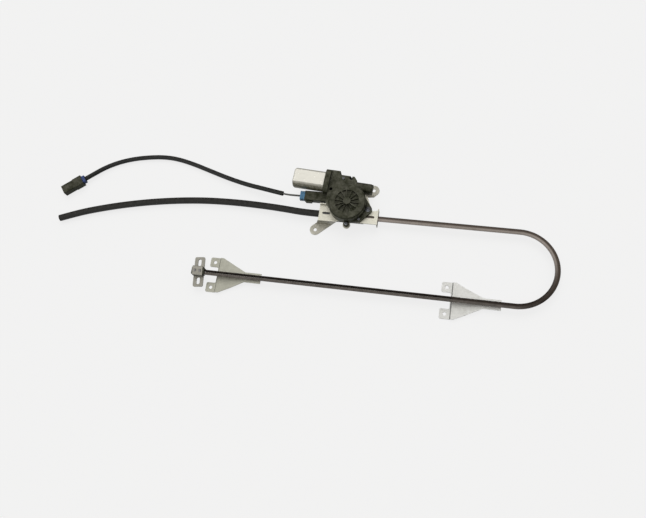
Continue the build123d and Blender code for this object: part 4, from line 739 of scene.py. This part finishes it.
def wound_cable_tree():
    """A straight cable: a core, and a wire wound round it like a rack."""
    tree, take, end, known = geometry_tree(
        "Wound rack cable", Length="Float", Pitch="Float", Core_radius="Float",
        Outer_radius="Float", Wire_radius="Float", Finish="Material")
    link = tree.links.new
    coil = tree.nodes.new("GeometryNodeCurveSpiral")
    coil.inputs["Resolution"].default_value = 20
    middle = maths(tree, "SUBTRACT", take["Outer radius"], take["Wire radius"])
    rotations = maths(tree, "DIVIDE", take["Length"], take["Pitch"])
    for label, value in (("Rotations", rotations), ("Start Radius", middle),
                         ("End Radius", middle), ("Height", take["Length"])):
        link(value, coil.inputs[label])
    core = tree.nodes.new("GeometryNodeCurvePrimitiveLine")
    top = tree.nodes.new("ShaderNodeCombineXYZ")
    link(take["Length"], top.inputs["Z"])
    link(top.outputs[0], core.inputs["End"])
    joined = tree.nodes.new("GeometryNodeJoinGeometry")
    for curve, radius, sides in ((coil, "Wire radius", 8), (core, "Core radius", 20)):
        section = tree.nodes.new("GeometryNodeCurvePrimitiveCircle")
        section.inputs["Resolution"].default_value = sides
        link(take[radius], section.inputs["Radius"])
        swept = tree.nodes.new("GeometryNodeCurveToMesh")
        swept.inputs["Fill Caps"].default_value = True
        link(curve.outputs[0], swept.inputs["Curve"])
        link(section.outputs[0], swept.inputs["Profile Curve"])
        link(swept.outputs[0], joined.inputs[0])
    close_tree(tree, joined.outputs[0], take["Finish"], end)
    return tree, known


# ---- fastenings


def turned_ring(work, radius, height, lobe=0.0):
    """A ring of points; a lobe waves its radius six times round."""
    ring = []
    for step in range(SCREW_SIDES):
        turn = 2 * math.pi * step / SCREW_SIDES
        waved = radius + lobe * math.cos(6 * turn)
        ring.append(work.verts.new((waved * math.cos(turn), waved * math.sin(turn), height)))
    return ring


def screw_mesh(head_radius, head_height, shank_radius, shank_length, pitch, flange=0.0):
    """A pan-head screw with a six-lobed recess and a threaded shank; its seat is at nought.

    A flange, where it has one, is a washer face of that radius under the head.
    """
    recess = head_radius * 0.40
    lobe = recess * 0.14
    seat = flange or head_radius
    head = [(recess * 0.92, 0.45, lobe), (recess, 0.93, lobe), (recess * 1.12, 1.0, lobe)]
    head += [(head_radius * width, height, 0.0)
             for width, height in ((0.72, 0.99), (0.90, 0.88), (0.985, 0.62), (1.0, 0.40))]
    if flange:
        head += [(flange * 0.90, 0.38, 0.0), (flange * 0.98, 0.32, 0.0)]
    head += [(seat, 0.24, 0.0), (seat, 0.06, 0.0), (seat * 0.98, 0.0, 0.0)]
    shank = [(shank_radius * 0.98, 0.0)]
    for turn in range(int((shank_length - pitch) / pitch)):
        crest = -pitch * (turn + 0.75)
        shank += [(shank_radius * 0.84, crest + pitch * 0.45),
                  (shank_radius, crest + pitch * 0.06), (shank_radius, crest - pitch * 0.06)]
    shank += [(shank_radius * 0.84, -shank_length + pitch * 0.3),
              (shank_radius * 0.6, -shank_length)]
    work = bmesh.new()
    rings = [turned_ring(work, radius, head_height * height, wave)
             for radius, height, wave in head]
    rings += [turned_ring(work, radius, height) for radius, height in shank]
    for first, second in zip(rings, rings[1:]):
        band(work, first, second)
    work.faces.new(rings[0])
    work.faces.new(rings[-1])
    bmesh.ops.recalc_face_normals(work, faces=work.faces)
    return mesh_from(work, "screw", 40)


def solid_boxes(node):
    """Low and high corners of each loose solid of a CAD node, from left to right."""
    work = bmesh.new()
    work.from_mesh(joined_copy(node))
    waiting = set(work.verts)
    boxes = []
    while waiting:
        reached = [waiting.pop()]
        places = []
        while reached:
            vertex = reached.pop()
            places.append(vertex.co.copy())
            beyond = {edge.other_vert(vertex) for edge in vertex.link_edges} & waiting
            waiting -= beyond
            reached += beyond
        boxes.append([Vector([side(place[axis] for place in places) for axis in range(3)])
                      for side in (min, max)])
    work.free()
    return sorted(boxes, key=lambda box: box[0].x)


def stand_screws(name, screw, spots, node, under=False):
    """Stands a screw on each spot by a geometry tree, in place of the CAD node."""
    if under:
        screw.transform(Matrix.Rotation(math.pi, 4, "X"))
    one = placed("one_screw", screw)
    seats = bpy.data.meshes.new(name)
    seats.from_pydata([tuple(spot) for spot in spots], [], [])
    tree, known = set_out_tree()
    mesh = grown(name, seats, tree, known, Fastening=one, Turn_step=0.7, Finish=finish_for(node))
    bpy.data.objects.remove(one)
    return set_piece(name, mesh, node)


# ---- settings


def length_setting(name, description, default):
    """A length that a user may change."""
    return FloatProperty(name=name, description=description, default=default, unit="LENGTH")


def colour_setting(part, default):
    """The colour of a part, which a user may change."""
    return FloatVectorProperty(name=part.capitalize(), description="Colour of the " + part,
                               subtype="COLOR", min=0, max=1, default=default)


class CordSizes(bpy.types.PropertyGroup):
    """Sizes of the hose and the motor lead."""

    hose_outer: length_setting("Hose outside", "Outside diameter of the cable hose", 0.013)
    hose_bore: length_setting("Hose bore", "Bore of the cable hose", 0.009)
    sleeve_outer: length_setting("Sleeve outside", "Outside diameter of the lead's sleeve", 0.009)
    sleeve_wall: length_setting("Sleeve wall", "Wall of the lead's sleeve", 0.0006)
    wire_outer: length_setting("Wire outside", "Outside diameter of each wire", 0.0022)
    wire_spacing: length_setting("Wire spacing", "Distance between the two wires", 0.004)


class CableSizes(bpy.types.PropertyGroup):
    """Sizes of the wound rack cable."""

    pitch: length_setting("Pitch", "Pitch of the wound wire", 0.004)
    wire: length_setting("Wire", "Diameter of the wound wire", 0.0013)
    core: length_setting("Core", "Diameter of the cable's core", 0.0036)
    bend_start: length_setting("Bend start", "Where the tube's bend begins, along the lift run",
                               0.566)


class FinishColours(bpy.types.PropertyGroup):
    """Colours of the main finishes."""

    tube: colour_setting("guide tube", (0.30, 0.262, 0.235))
    support: colour_setting("left support", (0.55, 0.55, 0.47))
    plate: colour_setting("motor plate", (0.95, 0.93, 0.80))
    can: colour_setting("motor can", (0.90, 0.885, 0.81))
    moulding: colour_setting("black mouldings", (0.0095, 0.0105, 0.005))
    hose: colour_setting("cable hose", (0.012, 0.012, 0.011))
    seal: colour_setting("motor plug's seal", (0.07, 0.19, 0.32))


class StudioSettings(bpy.types.PropertyGroup):
    """Floor, light and camera."""

    sky: FloatProperty(name="Sky", description="Strength of the studio's soft light",
                       default=0.95, min=0)
    key: FloatProperty(name="Key", description="Strength of the large soft lamp",
                       default=1.15, min=0)
    glow: FloatProperty(name="Glow", description="How bright the floor panel is to the camera",
                        default=0.786, min=0)
    floor: colour_setting("floor panel", (1.0, 1.0, 1.0))
    floor_side: IntProperty(name="Floor side", description="Side of the floor, in metres",
                            default=40, min=4)


# ---- operators


class REGULATOR_OT_studio(bpy.types.Operator):
    """Lay the pale floor, set the soft light and the camera"""

    bl_idname = "regulator.studio"
    bl_label = "Studio"

    def execute(self, context):
        settings = context.scene.regulator_studio
        self.lay_floor(settings)
        self.light(context.scene, settings)
        self.set_camera(context.scene)
        return {"FINISHED"}

    def lay_floor(self, settings):
        half = settings.floor_side / 2
        corners = [(-half, -half, 0), (half, -half, 0), (half, half, 0), (-half, half, 0)]
        mesh = bpy.data.meshes.new("floor")
        mesh.from_pydata(corners, [], [(0, 1, 2, 3)])
        glow = (*settings.floor, 1.0)
        made = Finish("Lit floor panel", shade(glow, FLOOR_SHADE), ior=1.01)
        made.lay(clouded, Stain=shade(glow, FLOOR_STAIN), Size=0.5, Amount=0.5)
        made.grained(0.002, 1.0, 0.05, 0.00001)
        mesh.materials.append(made.finished())
        # the panel glows evenly for the camera, and lights the parts from the mirrored side
        tree, shader = made.tree, made.shader
        seen = tree.nodes.new("ShaderNodeLightPath").outputs["Is Camera Ray"]
        shader.inputs["Emission Color"].default_value = glow
        incoming = tree.nodes.new("ShaderNodeNewGeometry").outputs["Incoming"]
        towards = reach(tree, incoming, (-MIRROR_SIDE[0], -MIRROR_SIDE[1], 0.0))
        lighting = sharpen(tree, towards, 0.0, 0.5, FLOOR_DIM, FLOOR_BRIGHT)
        hidden = maths(tree, "SUBTRACT", 1.0, seen)
        strength = maths(tree, "ADD", times(tree, seen, settings.glow),
                         times(tree, hidden, lighting))
        tree.links.new(strength, shader.inputs["Emission Strength"])
        floor = placed("floor", mesh)
        floor.location.z = -FLOOR_DROP

    def light(self, scene, settings):
        scene.world = bpy.data.worlds.new("studio")
        scene.world.use_nodes = True
        tree = scene.world.node_tree
        back = tree.nodes["Background"]
        back.inputs["Strength"].default_value = settings.sky
        soft = self.sky_ramp(tree, SOFT_SIDE, SOFT_SKY)
        mirrored = self.sky_ramp(tree, MIRROR_SIDE, MIRRORED_SKY)
        path = tree.nodes.new("ShaderNodeLightPath").outputs
        lit = mix_colour(tree, path["Is Glossy Ray"], soft, mirrored)
        behind = shade(settings.floor, BACKDROP)
        tree.links.new(mix_colour(tree, path["Is Camera Ray"], lit, behind), back.inputs["Color"])
        lamp = bpy.data.lights.new("soft key", "SUN")
        lamp.energy = settings.key
        lamp.angle = math.radians(KEY_SPREAD)
        lamp.color = (1.0, 0.995, 0.98)
        key = placed("soft_key", lamp)
        key.rotation_euler = [math.radians(angle) for angle in KEY_TURN]
        key.visible_glossy = False
        scene.view_settings.view_transform = "Standard"

    def sky_ramp(self, tree, towards, stops):
        """The sky's brightness, rising towards one direction."""
        place = tree.nodes.new("ShaderNodeTexCoord").outputs["Generated"]
        ramp = tree.nodes.new("ShaderNodeValToRGB")
        ends = ramp.color_ramp.elements
        for end, (level, colour) in zip(ends, (stops[0], stops[-1])):
            end.position, end.color = level, colour
        for level, colour in stops[1:-1]:
            ends.new(level).color = colour
        tree.links.new(reach(tree, place, towards), ramp.inputs[0])
        return ramp.outputs[0]

    def set_camera(self, scene):
        lens = bpy.data.cameras.new("camera")
        lens.lens = LENS
        lens.sensor_width = SENSOR_WIDTH
        lens.sensor_fit = "HORIZONTAL"
        lens.clip_start = 0.05
        scene.camera = placed("camera", lens)
        scene.camera.location = CAMERA_PLACE
        scene.camera.rotation_euler = [math.radians(angle) for angle in CAMERA_TURN]


class REGULATOR_OT_hose(bpy.types.Operator):
    """Run the black hose that takes the surplus cable"""

    bl_idname = "regulator.hose"
    bl_label = "Cable hose"

    def execute(self, context):
        sizes = context.scene.regulator_cords
        line = run_line(HOSE_ROUTE, "hose_line")
        mesh = hollow_run("hose_run", line, sizes.hose_outer, sizes.hose_bore, 40)
        hose = set_piece("hose_run", mesh, "cable_hose")
        return {"FINISHED"}


class REGULATOR_OT_harness(bpy.types.Operator):
    """Run the motor lead: two wires, their sleeve, and the loose plug with its seal"""

    bl_idname = "regulator.harness"
    bl_label = "Motor lead"

    def execute(self, context):
        sizes = context.scene.regulator_cords
        plug = dressed("end_plug")
        seal = dressed("end_seal")
        carried("end_terminals")
        line = run_line(WIRE_ROUTE, "wire_line")
        half = sizes.wire_spacing / 2
        for name, rise, end in (("supply_wire", half, plug),
                                ("return_wire", -half, frame["nodes"]["end_terminals"])):
            mesh = hollow_run(name, line, sizes.wire_outer, 0.0, 12, rise)
            path = raised(line, rise)
            set_piece(name, mesh, "harness_wires")
        line = run_line(SLEEVE_ROUTE, "sleeve_line")
        bore = sizes.sleeve_outer - 2 * sizes.sleeve_wall
        mesh = hollow_run("sleeve_run", line, sizes.sleeve_outer, bore, 32)
        set_piece("sleeve_run", mesh, "harness_sleeve")
        return {"FINISHED"}


class REGULATOR_OT_guide_tube(bpy.types.Operator):
    """Dress the slotted guide tube and its two supports"""

    bl_idname = "regulator.guide_tube"
    bl_label = "Guide tube and supports"

    def execute(self, context):
        for node in ("guide_tube", "left_guide_support", "right_guide_support"):
            dressed(node)
        return {"FINISHED"}


class REGULATOR_OT_lift(bpy.types.Operator):
    """Dress the lift bracket, its shoe, rivets and the cable driver"""

    bl_idname = "regulator.lift"
    bl_label = "Lift bracket"

    def execute(self, context):
        for node in ("lift_bracket", "lift_shoe", "lift_rivets", "cable_driver"):
            dressed(node)
        return {"FINISHED"}


class REGULATOR_OT_rack_cable(bpy.types.Operator):
    """Wind the rack cable of the lift run, and lay the rest of it round the bend to the gear"""

    bl_idname = "regulator.rack_cable"
    bl_label = "Rack cable"

    def execute(self, context):
        sizes = context.scene.regulator_cable
        low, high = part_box("rack_cable")
        outer = (high.z - low.z) / 2
        start = Vector((low.x, low.y + outer, low.z + outer))
        tree, known = wound_cable_tree()
        empty = bpy.data.meshes.new("wound_run")
        mesh = grown("wound_run", empty, tree, known, Length=sizes.bend_start - start.x,
                     Pitch=sizes.pitch, Core_radius=sizes.core / 2, Outer_radius=outer,
                     Wire_radius=sizes.wire / 2, Finish=finish_for("rack_cable"))
        mesh.transform(Matrix.Translation(start) @ Matrix.Rotation(math.pi / 2, 4, "Y"))
        mesh.shade_smooth()
        mesh.set_sharp_from_angle(angle=math.radians(50))
        run = set_piece("rack_cable_lift_run", mesh, "rack_cable")
        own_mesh(run)
        self.lay_rest(sizes.bend_start, (low.y + high.y) / 2)
        return {"FINISHED"}

    def lay_rest(self, bend_start, middle):
        """The cable without its lift run, closed where that run was cut off."""
        work = bmesh.new()
        work.from_mesh(joined_copy("rack_cable"))
        near = {vertex for vertex in work.verts
                if vertex.co.y < middle and vertex.co.x < bend_start + 0.03}
        cut = [part for part in (*work.edges, *work.faces) if near.issuperset(part.verts)]
        bmesh.ops.bisect_plane(work, geom=[*near, *cut], plane_co=(bend_start, 0, 0),
                               plane_no=(-1, 0, 0), clear_outer=True)
        bmesh.ops.holes_fill(work, edges=[edge for edge in work.edges if edge.is_boundary],
                             sides=0)
        set_piece("rack_cable_bend_run", mesh_from(work, "bend_run", 40), "rack_cable")


class REGULATOR_OT_motor_plate(bpy.types.Operator):
    """Dress the motor plate and the guide block under it, with its screws"""

    bl_idname = "regulator.motor_plate"
    bl_label = "Motor plate"

    def execute(self, context):
        dressed("motor_plate")
        dressed("cable_guide")
        boxes = solid_boxes("guide_screws")
        low, high = boxes[0]
        head = GUIDE_SCREW["head_height"]
        screw = screw_mesh((high.x - low.x) / 2, shank_length=high.z - low.z - head,
                           **GUIDE_SCREW)
        spots = [((low.x + high.x) / 2, (low.y + high.y) / 2, low.z + head)
                 for low, high in boxes]
        stand_screws("guide_screws_set", screw, spots, "guide_screws", under=True)
        return {"FINISHED"}


class REGULATOR_OT_gearbox(bpy.types.Operator):
    """Dress the gearbox housing and cover, and stand their screws"""

    bl_idname = "regulator.gearbox"
    bl_label = "Gearbox"

    def execute(self, context):
        dressed("gearbox_housing")
        dressed("gearbox_cover")
        carried("shaft_seal", "axle_pin")
        dressed("cover_screws")
        head = MOUNTING_SCREW["head_height"]
        names = iter(("top_pan_screw", "lower_pan_screw"))
        for low, high in solid_boxes("mounting_screws"):
            radius = (high.x - low.x) / 2
            flange = radius if radius > FLANGED_FROM_RADIUS else 0.0
            screw = screw_mesh(MOUNTING_HEAD_RADIUS, shank_length=high.z - low.z - head,
                               flange=flange, **MOUNTING_SCREW)
            spot = ((low.x + high.x) / 2, (low.y + high.y) / 2, high.z - head)
            name = "flanged_screw" if flange else next(names)
            stand_screws(name, screw, [spot], "mounting_screws")
        return {"FINISHED"}


class REGULATOR_OT_drive(bpy.types.Operator):
    """Finish the gear train inside the gearbox"""

    bl_idname = "regulator.drive"
    bl_label = "Gear train"

    def execute(self, context):
        carried("worm_wheel", "damper", "drive_disc", "drive_gear", "gear_washer")
        return {"FINISHED"}


class REGULATOR_OT_motor(bpy.types.Operator):
    """Dress the motor can and finish what turns inside it"""

    bl_idname = "regulator.motor"
    bl_label = "Motor"

    def execute(self, context):
        dressed("motor_can")
        carried("armature_shaft", "armature_core", "armature_windings", "commutator", "magnets",
                "rear_bush", "front_bush", "end_bush", "thrust_pad", "brush_holder", "brushes")
        return {"FINISHED"}


class REGULATOR_OT_plug(bpy.types.Operator):
    """Dress the motor plug and its blue seal"""

    bl_idname = "regulator.plug"
    bl_label = "Motor plug"

    def execute(self, context):
        dressed("motor_plug")
        dressed("plug_seal")
        carried("plug_terminals", "socket_blades")
        return {"FINISHED"}


class REGULATOR_PT_panel(bpy.types.Panel):
    """Lists the regulator's pieces and settings"""

    bl_idname = "REGULATOR_PT_panel"
    bl_label = "Window regulator"
    bl_space_type = "VIEW_3D"
    bl_region_type = "UI"
    bl_category = "Regulator"

    def draw(self, context):
        for operator in OPERATORS:
            self.layout.operator(operator.bl_idname)
        for name in SETTINGS:
            box = self.layout.box()
            settings = getattr(context.scene, name)
            for field in settings.__annotations__:
                box.prop(settings, field)


OPERATORS = (
    REGULATOR_OT_studio, REGULATOR_OT_hose, REGULATOR_OT_harness, REGULATOR_OT_guide_tube,
    REGULATOR_OT_lift, REGULATOR_OT_rack_cable, REGULATOR_OT_motor_plate, REGULATOR_OT_gearbox,
    REGULATOR_OT_drive, REGULATOR_OT_motor, REGULATOR_OT_plug,
)
SETTINGS = {
    "regulator_cords": CordSizes, "regulator_cable": CableSizes,
    "regulator_colours": FinishColours, "regulator_studio": StudioSettings,
}


def register():
    for name, settings in SETTINGS.items():
        bpy.utils.register_class(settings)
        setattr(bpy.types.Scene, name, PointerProperty(type=settings))
    for shown in (*OPERATORS, REGULATOR_PT_panel):
        bpy.utils.register_class(shown)


def unregister():
    for shown in (REGULATOR_PT_panel, *reversed(OPERATORS)):
        bpy.utils.unregister_class(shown)
    for name, settings in SETTINGS.items():
        delattr(bpy.types.Scene, name)
        bpy.utils.unregister_class(settings)


def main():
    register()
    bpy.ops.regulator.studio()
    bpy.ops.regulator.hose()
    bpy.ops.regulator.harness()
    bpy.ops.regulator.guide_tube()
    bpy.ops.regulator.lift()
    bpy.ops.regulator.rack_cable()
    bpy.ops.regulator.motor_plate()
    bpy.ops.regulator.gearbox()
    bpy.ops.regulator.drive()
    bpy.ops.regulator.motor()
    bpy.ops.regulator.plug()


if __name__ == "__main__":
    main()
